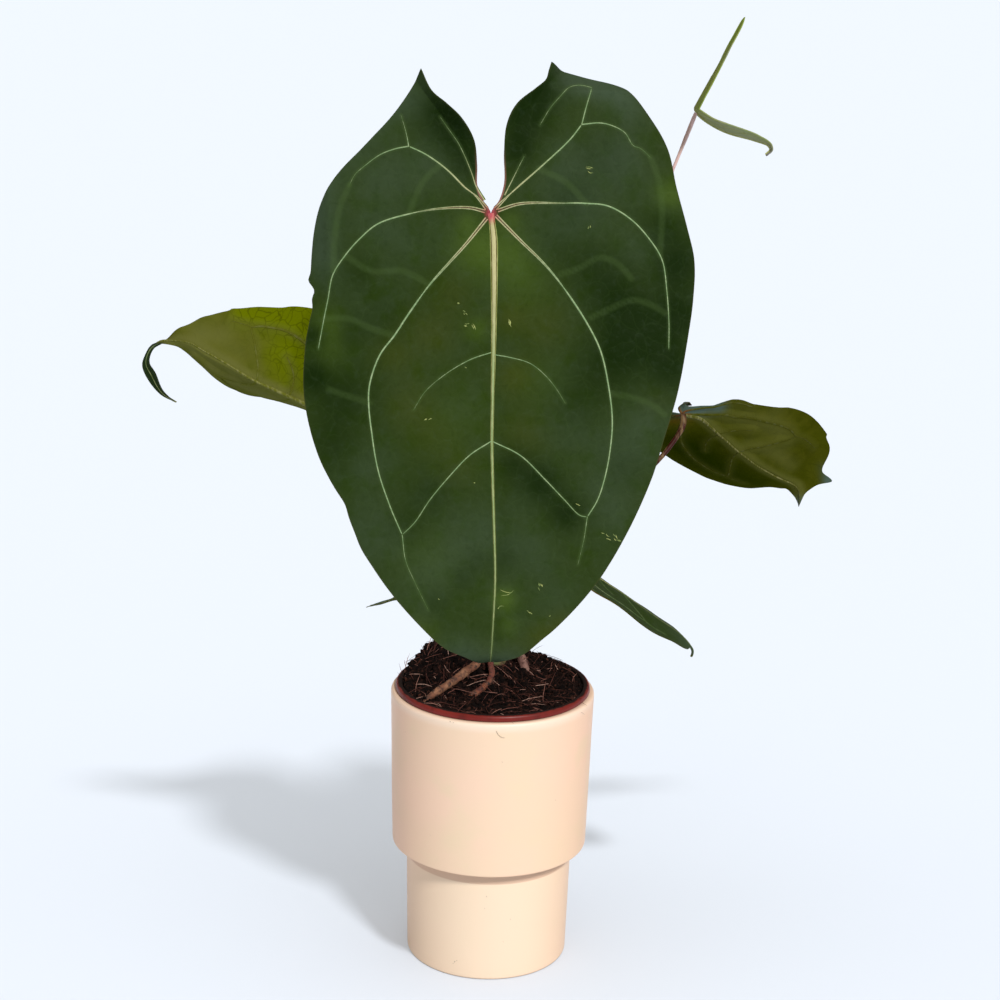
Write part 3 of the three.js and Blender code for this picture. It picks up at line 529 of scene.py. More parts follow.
def grown(name, carrier_mesh, tree, sizes):
    """The plain mesh that a tree makes on a carrier mesh."""
    piece = placed(name, carrier_mesh)
    modifier = piece.modifiers.new(tree.name, "NODES")
    modifier.node_group = tree
    for item in tree.interface.items_tree:
        if item.in_out == "INPUT" and item.name in sizes:
            modifier[item.identifier] = sizes[item.name]
    return frozen(piece)


def strewn_points(tree, given, least):
    """Random points on the faces that look up at least that much."""
    looks_up = height_of(tree, put(tree, "GeometryNodeInputNormal").outputs[0])
    return put(tree, "GeometryNodeDistributePointsOnFaces", {
        "Mesh": given["Geometry"], "Selection": worked(tree, "GREATER_THAN", looks_up, least),
        "Density": given["Density"], "Seed": given["Seed"],
    }).outputs


def chance(tree, low, high, seed):
    """A number drawn for each point."""
    return put(tree, "FunctionNodeRandomValue", {2: low, 3: high, "Seed": seed}).outputs[1]


def chances(tree, low, high, seed):
    """Three numbers drawn for each point."""
    sockets = {0: low, 1: high, "Seed": seed}
    return put(tree, "FunctionNodeRandomValue", sockets, data_type="FLOAT_VECTOR").outputs[0]


def shifted(tree, geometry, scale, detail, reach=None):
    """Moves every point at random by smooth noise, times the reach where one is given."""
    ways = put(tree, "ShaderNodeTexNoise", {"Scale": scale, "Detail": detail}).outputs["Color"]
    offset = moved(tree, "SUBTRACT", {0: ways, 1: (0.5, 0.5, 0.5)})
    if reach is not None:
        offset = moved(tree, "SCALE", {0: offset, "Scale": reach})
    return put(tree, "GeometryNodeSetPosition", {"Geometry": geometry, "Offset": offset}).outputs[0]


def instanced(tree, points, shape, rotation, scale):
    sockets = {"Points": points, "Instance": shape, "Rotation": rotation, "Scale": scale}
    return put(tree, "GeometryNodeInstanceOnPoints", sockets).outputs[0]


def swept(tree, curve, profile, scale):
    """Draws a profile along a curve, with closed ends."""
    return put(tree, "GeometryNodeCurveToMesh", {
        "Curve": curve, "Profile Curve": profile, "Scale": scale, "Fill Caps": True,
    }).outputs[0]


def circle(tree, sides, radius):
    return put(tree, "GeometryNodeCurvePrimitiveCircle", {"Resolution": sides, "Radius": radius}).outputs[0]


def carried(tree, name, kind="FLOAT"):
    """A value that the geometry carries."""
    return put(tree, "GeometryNodeInputNamedAttribute", {"Name": name}, data_type=kind).outputs[0]


# Loose crumbs: one dented lump, turned, stretched and sunk at random over the surface
crumb_tree, given, out = growing_tree("scattered crumbs", [
    ("Density", "Float", 100.0), ("Smallest", "Float", 0.0005), ("Largest", "Float", 0.002),
    ("Seed", "Int", 1), ("Material", "Material", None),
])
spots = strewn_points(crumb_tree, given, 0.25)
lump = put(crumb_tree, "GeometryNodeMeshIcoSphere", {"Radius": 1.0, "Subdivisions": 2}).outputs[0]
dented = shifted(crumb_tree, lump, 1.7, 2.0)
turns = chances(crumb_tree, (0, 0, 0), (6.3, 6.3, 6.3), given["Seed"])
size = chance(crumb_tree, given["Smallest"], given["Largest"], given["Seed"])
stretch = chances(crumb_tree, (0.5, 0.6, 0.5), (1.0, 1.3, 1.0), 77)
scale = moved(crumb_tree, "SCALE", {0: stretch, "Scale": size})
lumps = instanced(crumb_tree, spots[0], dented, turns, scale)
end_tree(crumb_tree, lumps, given, out)

crumb_peat = soil_finish("loose crumbs", 480.0, (8, 4, 4), (24, 12, 9), (60, 34, 26), 0.7, 0.0006)
crumbs = grown("soil_crumbs", soil.data.copy(), crumb_tree, {
    "Density": 130000.0, "Smallest": 0.0004, "Largest": 0.0021, "Seed": 5, "Material": crumb_peat,
})
settle(crumbs, "potting_mix", None)

# Coir fibres: bent lines laid over the surface at random, drawn out to thin tapered threads
fibre_tree, given, out = growing_tree("laid fibres", [
    ("Density", "Float", 100.0), ("Shortest", "Float", 0.006), ("Longest", "Float", 0.02),
    ("Thickness", "Float", 0.0003), ("Tilt", "Float", 0.3), ("Wander", "Float", 0.003),
    ("Least upward", "Float", 0.3), ("Seed", "Int", 1), ("Material", "Material", None),
])
spots = strewn_points(fibre_tree, given, given["Least upward"])
bent_line = put(fibre_tree, "GeometryNodeCurveQuadraticBezier", {
    "Resolution": 7, "Start": (-0.5, 0, 0), "Middle": (0.05, 0.07, 0.14), "End": (0.5, -0.03, 0.0),
})
lean = chance(fibre_tree, times(fibre_tree, given["Tilt"], -1.0), given["Tilt"], 31)
swing = chance(fibre_tree, 0.0, 6.3, given["Seed"])
turn = put(fibre_tree, "ShaderNodeCombineXYZ", {"X": lean, "Y": lean, "Z": swing})
laid_way = put(fibre_tree, "FunctionNodeRotateRotation", {0: spots["Rotation"], 1: turn.outputs[0]},
               rotation_space="LOCAL")
length = chance(fibre_tree, given["Shortest"], given["Longest"], 12)
fibres = instanced(fibre_tree, spots[0], bent_line.outputs[0], laid_way.outputs[0], length)
toned = put(fibre_tree, "GeometryNodeStoreNamedAttribute", {
    "Geometry": fibres, "Name": "fibre_tone", "Value": chance(fibre_tree, 0.0, 1.0, 4),
}, data_type="FLOAT", domain="INSTANCE")
strands = put(fibre_tree, "GeometryNodeRealizeInstances", {"Geometry": toned.outputs[0]})
crooked = shifted(fibre_tree, strands.outputs[0], 120.0, 1.0, given["Wander"])
along = put(fibre_tree, "GeometryNodeSplineParameter").outputs["Factor"]
from_middle = worked(fibre_tree, "ABSOLUTE", worked(fibre_tree, "SUBTRACT", along, 0.5), 0.0)
taper = ranged(fibre_tree, from_middle, 0.3, 0.52, 1.0, 0.25)
stout = plus(fibre_tree, times(fibre_tree, carried(fibre_tree, "fibre_tone"), 0.8), 0.5)
fibre_scale = times(fibre_tree, times(fibre_tree, stout, taper), given["Thickness"])
end_tree(fibre_tree, swept(fibre_tree, crooked, circle(fibre_tree, 4, 0.5), fibre_scale), given, out)


def stored(tree, name):
    """A value that the mesh carries, in a finish."""
    return put(tree, "ShaderNodeAttribute", attribute_name=name).outputs["Fac"]


coir, tree, skin = new_finish("coir fibre", 0.8, Specular_IOR_Level=0.2)
browns = put(tree, "ShaderNodeValToRGB", {"Fac": stored(tree, "fibre_tone")})
browns.color_ramp.elements[0].color = daylight(34, 18, 14)
browns.color_ramp.elements[1].color = daylight(200, 164, 150)
for stop, colour in ((0.5, (62, 32, 28)), (0.74, (108, 64, 56)), (0.9, (158, 114, 102))):
    browns.color_ramp.elements.new(stop).color = daylight(*colour)
streaks = ranged(tree, clouds(tree, object_place(tree), 900.0, 2.0), 0.35, 0.7, 0.0, 0.6)
coloured(tree, skin, blended(tree, streaks, browns.outputs[0], (74, 42, 32)))
COIR = {
    "coir_long": {"Density": 24000.0, "Shortest": 0.008, "Longest": 0.026, "Thickness": 0.00032,
                  "Tilt": 0.45, "Wander": 0.0016, "Seed": 3},
    "coir_short": {"Density": 30000.0, "Shortest": 0.003, "Longest": 0.008, "Thickness": 0.00026,
                   "Tilt": 0.6, "Wander": 0.001, "Seed": 8},
}
for label, sizes in COIR.items():
    strewn = grown(label, soil.data.copy(), fibre_tree, {**sizes, "Material": coir})
    settle(strewn, "potting_mix", None)


# Stem
# A short woody rhizome that carries every leaf stalk and root. Rings of old leaf scars run round it, and dry
# papery sheaths of lost leaves still clasp its upper half.
STEM_FOOT = (-2, 14)
STEM_BOTTOM = 168
STEM_TOP = 236
STEM_STEPS = 110
STEM_SIDES = 48
STEM_RINGS = 7


def stem_line(share):
    """Centre and radius of the stem at a share of its height."""
    swell = 0.6 * math.cos(share * STEM_RINGS * 2 * math.pi)
    taper = (share - 0.9) * 28 if share > 0.9 else 0
    centre = Vector((STEM_FOOT[0] + 2 * math.sin(share * 2.2), STEM_FOOT[1] + 3 * share,
                     STEM_BOTTOM + (STEM_TOP - STEM_BOTTOM) * share))
    return centre, 9 - 2 * share + swell - taper


bark = bmesh.new()
rings = []
for step in range(STEM_STEPS + 1):
    centre, radius = stem_line(step / STEM_STEPS)
    ring = []
    for way in around(STEM_SIDES):
        spot = centre + way * radius
        rough = 0.5 * noise.noise(spot / 3.2) + 0.22 * noise.noise(spot / 1.1)
        ring.append(bark.verts.new((centre + way * (radius + rough)) * MM))
    rings.append(ring)
close_rings(bark, rings)
bark.faces.new(list(reversed(rings[0])))
bark.faces.new(rings[-1])
rhizome = finished("rhizome", bark, sharp=60)
rhizome_bark, tree, skin = new_finish("rhizome bark", 0.85)
place = object_place(tree)
bark_colour = patched(tree, place, 90.0, (104, 76, 50), (82, 92, 48), (70, 46, 32))
rings_of_scars = put(tree, "ShaderNodeTexWave", {
    "Vector": place, "Scale": 30.0, "Distortion": 3.0, "Detail": 3.0,
}, bands_direction="Z")
scars = ranged(tree, rings_of_scars.outputs["Fac"], 0.7, 0.95, 0.0, 0.6)
coloured(tree, skin, blended(tree, scars, bark_colour["Colour"], (50, 33, 24)))
bumped(tree, skin, bark_colour["Spread"], 0.6, 0.0008)
settle(rhizome, "stem", rhizome_bark, "stem")

# Sheaths, as (turn in degrees, start as a share of the stem's height, half width, height)
SHEATHS = [
    (200, 0.42, 5, 24), (35, 0.5, 5, 22), (300, 0.58, 4.6, 26), (120, 0.66, 4.6, 24), (235, 0.74, 4, 26),
]
SHEATH_ROWS = 14
SHEATH_COLUMNS = 8
PAPER_THICKNESS = 0.3
sheath_shape = bmesh.new()
for turn_at, start, half_width, tall in SHEATHS:
    grid = []
    for row in range(SHEATH_ROWS + 1):
        up = row / SHEATH_ROWS
        centre, radius = stem_line(min(start + up * tall / (STEM_TOP - STEM_BOTTOM), 0.9))
        line = []
        for column in range(SHEATH_COLUMNS + 1):
            out_share = 2 * column / SHEATH_COLUMNS - 1
            width = half_width * (1 - up**2.2) ** 0.6 if up < 1 else 0
            spread = math.radians(turn_at) + out_share * width / radius
            away = radius + 0.9 + 3.4 * up**3 + 0.35 * math.sin(9 * out_share + 5 * up)
            way = Vector((math.cos(spread), math.sin(spread), 0))
            rise = Vector((0, 0, up * tall * 0.22))
            line.append(sheath_shape.verts.new((centre + way * away + rise * up) * MM))
        grid.append(line)
    for low, high in zip(grid, grid[1:]):
        for side in range(SHEATH_COLUMNS):
            sheath_shape.faces.new([low[side], low[side + 1], high[side + 1], high[side]])
bmesh.ops.remove_doubles(sheath_shape, verts=sheath_shape.verts, dist=0.00002)
sheaths = finished("dry_sheaths", sheath_shape)
paper_wall = sheaths.modifiers.new("paper", "SOLIDIFY")
paper_wall.thickness = PAPER_THICKNESS * MM
paper_wall.offset = 1.0
frozen(sheaths)
dry_paper, tree, skin = new_finish("dry sheath", 0.8)
stretched = put(tree, "ShaderNodeMapping", {"Vector": object_place(tree), "Scale": (1.0, 1.0, 0.12)})
fibrous = patched(tree, stretched.outputs[0], 420.0, (128, 92, 58), (160, 124, 84), (84, 56, 36))
coloured(tree, skin, fibrous["Colour"])
bumped(tree, skin, fibrous["Spread"], 0.5, 0.0004)
settle(sheaths, "stem", dry_paper)


# Aerial roots
# Four thick roots in a corky skin. They leave the stem above the mix, come down beside the mound and run
# into it. The skin is tan to grey-pink, rough, and holds fine root hairs and soil.
ROOTS = {
    "left": ([(-3, 10, 205), (-6, 1, 199), (-11, -6, 191), (-17, -12, 188), (-23, -16, 184), (-32, -23, 180),
              (-40.5, -29.5, 174.5), (-42.5, -30, 166)], (3.2, 2.8, 2.6, 2.7, 2.4, 2.5, 2.1, 1.7)),
    "front": ([(-2, 9, 198), (-2, 0, 192), (-1, -9, 184), (-5, -15, 180), (-10, -20, 177.5),
               (-15, -25, 174.5), (-19, -28, 166)], (2.4, 2, 1.8, 2, 2, 1.8, 1.4)),
    "right": ([(3, 16, 212), (10, 19, 208), (14.6, 20, 195), (16.7, 22, 188), (19.4, 21.5, 180),
               (21.5, 21, 174), (23, 21, 163)], (3, 2.9, 2.8, 2.9, 3, 3, 2.4)),
    "back": ([(-3, 19, 204), (-7, 28, 204), (-13, 39, 194), (-17, 46, 178),
              (-18, 47, 164)], (3, 2.6, 2.5, 2.5, 2)),
}
ROOT_STEPS = 90


def through(points, places):
    """Places on a smooth curve through the points: place 2.5 lies halfway from point 2 to point 3."""
    points = np.array(points, float)
    padded = np.vstack([2 * points[0] - points[1], points, 2 * points[-1] - points[-2]])
    low = np.clip(places.astype(int), 0, len(points) - 2)
    share = (places - low)[:, None]
    before, start, end, after = (padded[low + step] for step in range(4))
    first, middle, last = (
        np.maximum(np.sqrt(np.linalg.norm(b - a, axis=1)), 0.01)[:, None]
        for a, b in ((before, start), (start, end), (end, after))
    )
    step = (end - start) / middle
    leaving = ((start - before) / first - (end - before) / (first + middle) + step) * middle
    arriving = (step - (after - start) / (middle + last) + (after - end) / last) * middle
    square = -3 * start + 3 * end - 2 * leaving - arriving
    cube = 2 * start - 2 * end + leaving + arriving
    return start + leaving * share + square * share**2 + cube * share**3


def evenly(points, steps):
    """Evenly spaced points on the smooth curve, and how far along each lies, in the points' own units."""
    dense = through(points, np.linspace(0, len(points) - 1, 40 * (len(points) - 1) + 1))
    run = np.concatenate([[0], np.cumsum(np.linalg.norm(np.diff(dense, axis=0), axis=1))])
    along = np.linspace(0, run[-1], steps + 1)
    return np.stack([np.interp(along, run, dense[:, axis]) for axis in range(dense.shape[1])], axis=1), along


def line_mesh(name, lines):
    """A mesh of open lines. Each holds its points in millimetres, its half widths and any other values."""
    points = np.concatenate([line["points"] for line in lines]) * MM
    edges = []
    start = 0
    for line in lines:
        count = len(line["points"])
        edges += [(start + step, start + step + 1) for step in range(count - 1)]
        start += count
    mesh = bpy.data.meshes.new(name)
    mesh.from_pydata(points.tolist(), edges, [])
    for key in lines[0]:
        if key == "points":
            continue
        values = np.concatenate([np.asarray(line[key], float) for line in lines])
        values = values * MM if key == "half_width" else values
        kind = "FLOAT_VECTOR" if values.ndim == 2 else "FLOAT"
        field = "vector" if values.ndim == 2 else "value"
        mesh.attributes.new(key, kind, "POINT").data.foreach_set(field, values.astype(np.float32).ravel())
    return mesh


# A round stalk or root along a line, with uneven skin
stalk_tree, given, out = growing_tree("skin along a line", [
    ("Sides", "Int", 16), ("Unevenness", "Float", 0.0002), ("Fineness", "Float", 400.0),
    ("Material", "Material", None),
])
core = put(stalk_tree, "GeometryNodeMeshToCurve", {"Mesh": given["Geometry"]}).outputs[0]
tube = swept(stalk_tree, core, circle(stalk_tree, given["Sides"], 1.0), carried(stalk_tree, "half_width"))
skin_noise = put(stalk_tree, "ShaderNodeTexNoise", {"Scale": given["Fineness"], "Detail": 3.0})
lift = times(stalk_tree, worked(stalk_tree, "SUBTRACT", skin_noise.outputs[0], 0.5), given["Unevenness"])
normal = put(stalk_tree, "GeometryNodeInputNormal").outputs[0]
outward = moved(stalk_tree, "SCALE", {0: normal, "Scale": lift})
uneven = put(stalk_tree, "GeometryNodeSetPosition", {"Geometry": tube, "Offset": outward})
smooth = put(stalk_tree, "GeometryNodeSetShadeSmooth", {"Geometry": uneven.outputs[0]})
end_tree(stalk_tree, smooth.outputs[0], given, out)


def stalk_line(points, radii, steps):
    centres, along = evenly(points, steps)
    share = along / along[-1]
    widths = np.interp(share, np.linspace(0, 1, len(radii)), radii)
    return {"points": centres, "half_width": widths, "up_the_stalk": share}


root_skins = {}
# The skins are drawn darker than bare root, as painted shade of the front leaf, which the plant's key light
# passes
for label, colours in {
    "tan": ((110, 68, 47), (138, 96, 70), (64, 36, 26)),
    "red": ((94, 42, 33), (120, 68, 44), (60, 28, 22)),
    "rosy": ((112, 78, 70), (134, 100, 90), (76, 48, 41)),
}.items():
    root_skin, tree, skin = new_finish("root skin, " + label, 0.82)
    place = object_place(tree)
    cork = patched(tree, place, 170.0, *colours)
    clinging = gritty(tree, place, 700.0, (34, 19, 14), (80, 46, 32), (150, 104, 70))
    buried = ranged(tree, height_of(tree, place), (SOIL_LEVEL + 11) * MM, (SOIL_LEVEL - 3) * MM, 0.0, 0.16)
    soiled = ranged(tree, plus(tree, clouds(tree, place, 260.0, 4.0), buried), 0.55, 0.68)
    coloured(tree, skin, blended(tree, soiled, cork["Colour"], clinging["Colour"]))
    cork_height = plus(tree, cork["Spread"], times(tree, clinging["Height"], 0.5))
    bumped(tree, skin, cork_height, 0.7, 0.0006)
    root_skins[label] = root_skin
for label, (points, radii) in ROOTS.items():
    root_mesh = line_mesh("root line", [stalk_line(points, radii, ROOT_STEPS)])
    root = grown("root_" + label, root_mesh, stalk_tree, {
        "Sides": 22, "Unevenness": 0.0022, "Fineness": 260.0,
        "Material": root_skins[{"right": "rosy", "front": "red"}.get(label, "tan")],
    })
    settle(root, "aerial_root", None, "aerial_root_" + label)
    hairs = grown("root_hairs_" + label, root.data.copy(), fibre_tree, {
        "Density": 36000.0, "Shortest": 0.0015, "Longest": 0.006, "Thickness": 0.00022, "Tilt": 0.9,
        "Wander": 0.003, "Least upward": -1.0, "Seed": 17, "Material": coir,
    })
    settle(hairs, "aerial_root", None)


# Leaf stalks
# Round, faintly grooved stalks, one to a leaf, held in the stem's crown. Each ends in a swollen joint just
# under its blade. They are olive brown below and turn red or pale pink towards the joint.
STALK_COLOURS = {
    "olive": ((96, 86, 44), (126, 70, 48)),
    "wine": ((78, 22, 10), (52, 10, 4)),
    "blush": ((212, 182, 178), (224, 190, 190)),
}
# Each leaf's stalk, as (colour, radii, points)
STALKS = {
    "front": ("olive", (5.2, 4.2, 3.2, 2.8, 2.5, 2.8, 3), [
        (-2, 12, 216), (-2, 7, 226), (-3, 12, 252), (-5, 24, 330), (-8, 26, 420), (-9, 19, 454),
        (-8, 10, 464),
    ]),
    "left": ("olive", (4.6, 3.8, 2.6, 2.3, 2.3, 2.6), [
        (-2, 14, 206), (-9, 16, 218), (-28, 26, 262), (-62, 40, 306), (-88, 45, 324), (-99, 46, 328.5),
    ]),
    "right": ("wine", (4.6, 3.6, 2.4, 1.9, 1.6, 1.5, 1.5, 1.7), [
        (-2, 14, 200), (8, 15, 212), (36, 22, 252), (72, 34, 288), (97, 44, 308), (109, 52, 321),
        (115, 57, 331), (115.1, 60, 337),
    ]),
    "top": ("blush", (3.4, 2.8, 2, 1.5, 1.1, 0.9, 1.1), [
        (-1, 17, 222), (3, 20, 234), (24, 30, 290), (58, 44, 380), (92, 56, 465), (103, 59, 494),
        (113.8, 60, 524),
    ]),
    "low_right": ("olive", (4.4, 3.4, 2.3, 2, 2.3), [
        (-2, 15, 186), (6, 21, 197), (18, 40, 220), (32, 64, 235), (41, 79, 237.5),
    ]),
    "low_left": ("wine", (4.2, 3.2, 2.2, 1.9, 2.1), [
        (-2, 15, 182), (-5, 23, 192), (-10, 45, 220), (-13, 74, 236), (-14, 93, 235.5),
    ]),
}
STALK_STEPS = 150
stalk_skins = {}
for label, (low_colour, high_colour) in STALK_COLOURS.items():
    stalk_skin, tree, skin = new_finish("leaf stalk, " + label, 0.5, Specular_IOR_Level=0.15)
    place = object_place(tree)
    turning = blended(tree, ranged(tree, stored(tree, "up_the_stalk"), 0.15, 0.9), low_colour, high_colour)
    drawn = put(tree, "ShaderNodeMapping", {"Vector": place, "Scale": (1.0, 1.0, 0.2)})
    streaked = patched(tree, drawn.outputs[0], 260.0, turning, blended(tree, 0.3, turning, (176, 150, 104)),
                       blended(tree, 0.22, turning, (48, 30, 18)))
    pores = use_group(tree, specks, {"Vector": place, "Scale": 700.0, "Size": 0.22, "Share": 0.3})
    pore_share = times(tree, pores["Mask"], 0.5)
    coloured(tree, skin, blended(tree, pore_share, streaked["Colour"], (190, 160, 120)))
    bumped(tree, skin, streaked["Spread"], 0.3, 0.0003)
    stalk_skins[label] = stalk_skin
for label, (colour, radii, points) in STALKS.items():
    line = stalk_line(points, radii, STALK_STEPS)
    up = line["up_the_stalk"]
    swelling = 0.22 * smooth_step(up, 0.925, 0.95) * smooth_step(up, 1, 0.985)
    line["half_width"] = line["half_width"] * (1 + swelling)
    leafstalk = grown("leafstalk_" + label, line_mesh("stalk line", [line]), stalk_tree, {
        "Sides": 24, "Unevenness": 0.0003, "Fineness": 300.0, "Material": stalk_skins[colour],
    })
    settle(leafstalk, "petiole", None, "petiole_" + label)


# Leaf blades
# Thin velvet blades, dark green above and paler and duller beneath. They puff up a little between the veins.
# Each is one sheet with a skin above and a skin beneath, joined along the margin.
BLADE_THICKNESS = 0.6
LOBE_BEND = 8
PUFF = 0.9
PUFF_REACH = 9
UNEVENNESS = 1.1
VEIN_SPACING = 1.2
FRONT_LENGTH = 284
FRONT_REACH = 121
SPINE_STEPS = 320
# A half leaf's outline is a set of lines across it, as (inner across, inner along, outer across, outer
# along), from the top of the lobe to the tip. Along counts from the stalk's joint.
FRONT_LEFT = [
    (41, -83, 41, -83), (35, -71, 48.5, -70), (26, -63, 59, -56), (17, -54, 75, -39), (10, -42, 92, -21),
    (8.2, -28, 101, -5), (8, -16, 105.5, 12), (5, -8, 107.5, 36), (0, 0, 107, 58), (0, 28, 110.5, 80),
    (0, 60, 111, 108), (0, 95, 102.5, 142), (0, 130, 88, 171), (0, 165, 76.5, 197), (0, 198, 63, 219),
    (0, 228, 43.5, 242), (0, 250, 26, 258), (0, 267, 9, 268), (0, 284, 0, 284),
]
FRONT_RIGHT = [
    (35, -87.5, 35, -87.5), (33.5, -83, 44, -84.5), (32, -78, 55, -81), (26, -72.5, 79, -73),
    (15, -63, 93, -57), (9, -51, 104, -38), (7.5, -35, 109, -17), (7.7, -18, 116, 7), (5, -8, 121, 27),
    (0, 0, 120.5, 50), (0, 28, 116.5, 78), (0, 60, 111.5, 105), (0, 95, 103.5, 133), (0, 130, 96, 157),
    (0, 165, 81.5, 189), (0, 198, 64, 218), (0, 228, 41, 244), (0, 250, 20, 261), (0, 267, 6, 269),
    (0, 284, 0, 284),
]
LEFT_LOW = [
    (22, -42, 22, -42), (15, -38, 38, -36), (9, -28, 51, -18), (5, -15, 58, 2), (2, -5, 60.5, 20),
    (0, 0, 59.5, 34), (0, 14, 54, 48), (0, 34, 42, 62), (0, 52, 27, 73), (0, 68, 16, 86), (0, 82, 10.5, 94),
    (0, 95, 7, 106), (0, 108, 3, 116), (0, 124, 1.6, 129), (0, 136, 1.7, 140), (0, 150, 4, 153),
    (0, 163, 2.2, 165), (0, 177, 0, 177),
]
LEFT_HIGH = LEFT_LOW[:6] + [
    (0, 14, 55.5, 49), (0, 34, 47, 70), (0, 52, 36, 87), (0, 68, 30, 98.5), (0, 82, 21, 104.5),
    (0, 95, 12.5, 110.5), (0, 108, 6.5, 120.5), (0, 124, 2, 129), (0, 136, 2, 140),
] + LEFT_LOW[-3:]
RIGHT_LEFT = [
    (2, -20, 2, -20), (1.5, -16, 5, -14), (1, -9, 6, -7), (0.6, -3, 6.5, 1), (0, 0, 8, 8), (0, 4, 11, 16),
    (0, 8, 16, 20.5), (0, 11, 20.5, 21.8), (0, 15, 25.5, 27), (0, 23, 30, 39), (0, 35, 37.5, 54),
    (0, 48, 43, 66), (0, 62, 47, 84), (0, 80, 45, 102), (0, 100, 36, 118.5), (0, 112, 19, 124),
    (0, 118, 23.5, 128.8), (0, 122, 12, 128.5), (0, 129, 3.8, 132.5), (0, 141, 0, 141),
]
RIGHT_RIGHT = [
    (11, -27, 11, -27), (9, -25, 25, -23), (7, -19, 40, -8), (4, -11, 47, 8), (0, 0, 50, 30),
    (0, 4, 50, 40), (0, 8, 49, 47), (0, 11, 48.2, 52), (0, 15, 47.3, 57), (0, 23, 45, 64.5),
    (0, 35, 42.5, 74.5), (0, 48, 39.5, 85), (0, 62, 35.4, 95.3), (0, 80, 28, 107), (0, 100, 16, 113),
    (0, 112, 11.5, 120), (0, 118, 8.3, 126), (0, 122, 6.3, 129.5), (0, 129, 3.3, 133.8), (0, 141, 0, 141),
]
TOP_HALF = [
    (12, -63, 12, -63), (6, -60.5, 19, -57.5), (3, -44, 22, -40), (2, -28, 25, -22), (1.5, -12, 26, -8),
    (1, -6, 26, -4), (0.5, -3, 26, -1.5), (0, 0, 26, 1), (0, 6, 25, 9), (0, 16, 22, 21), (0, 28, 16, 33),
    (0, 40, 9, 43), (0, 48, 4, 49), (0, 52, 1.6, 53.5), (0, 58, 1.4, 59), (0, 63, 0, 63),
]
HEART = [
    (0.42, -0.36, 0.42, -0.36), (0.27, -0.34, 0.64, -0.32), (0.16, -0.26, 0.84, -0.21),
    (0.09, -0.15, 0.96, -0.06), (0.05, -0.06, 1, 0.1), (0, 0, 1, 0.25), (0, 0.13, 0.95, 0.41),
    (0, 0.28, 0.84, 0.57), (0, 0.45, 0.68, 0.73), (0, 0.63, 0.5, 0.87), (0, 0.8, 0.34, 0.97),
    (0, 0.94, 0.18, 1.01),
]
DRIP_TIP = [(0.04, 1, 0.2), (0.5, 0.8, 0.6), (1, 0, 1)]


def heart(half_width, length, tip_width, tip):
    """The low leaves' outline, from shares of half the width and of the length, drip tip apart."""
    body = [(a * half_width, b * length, c * half_width, d * length) for a, b, c, d in HEART]
    return body + [(0, length + b * tip, c * tip_width, length + d * tip) for b, c, d in DRIP_TIP]


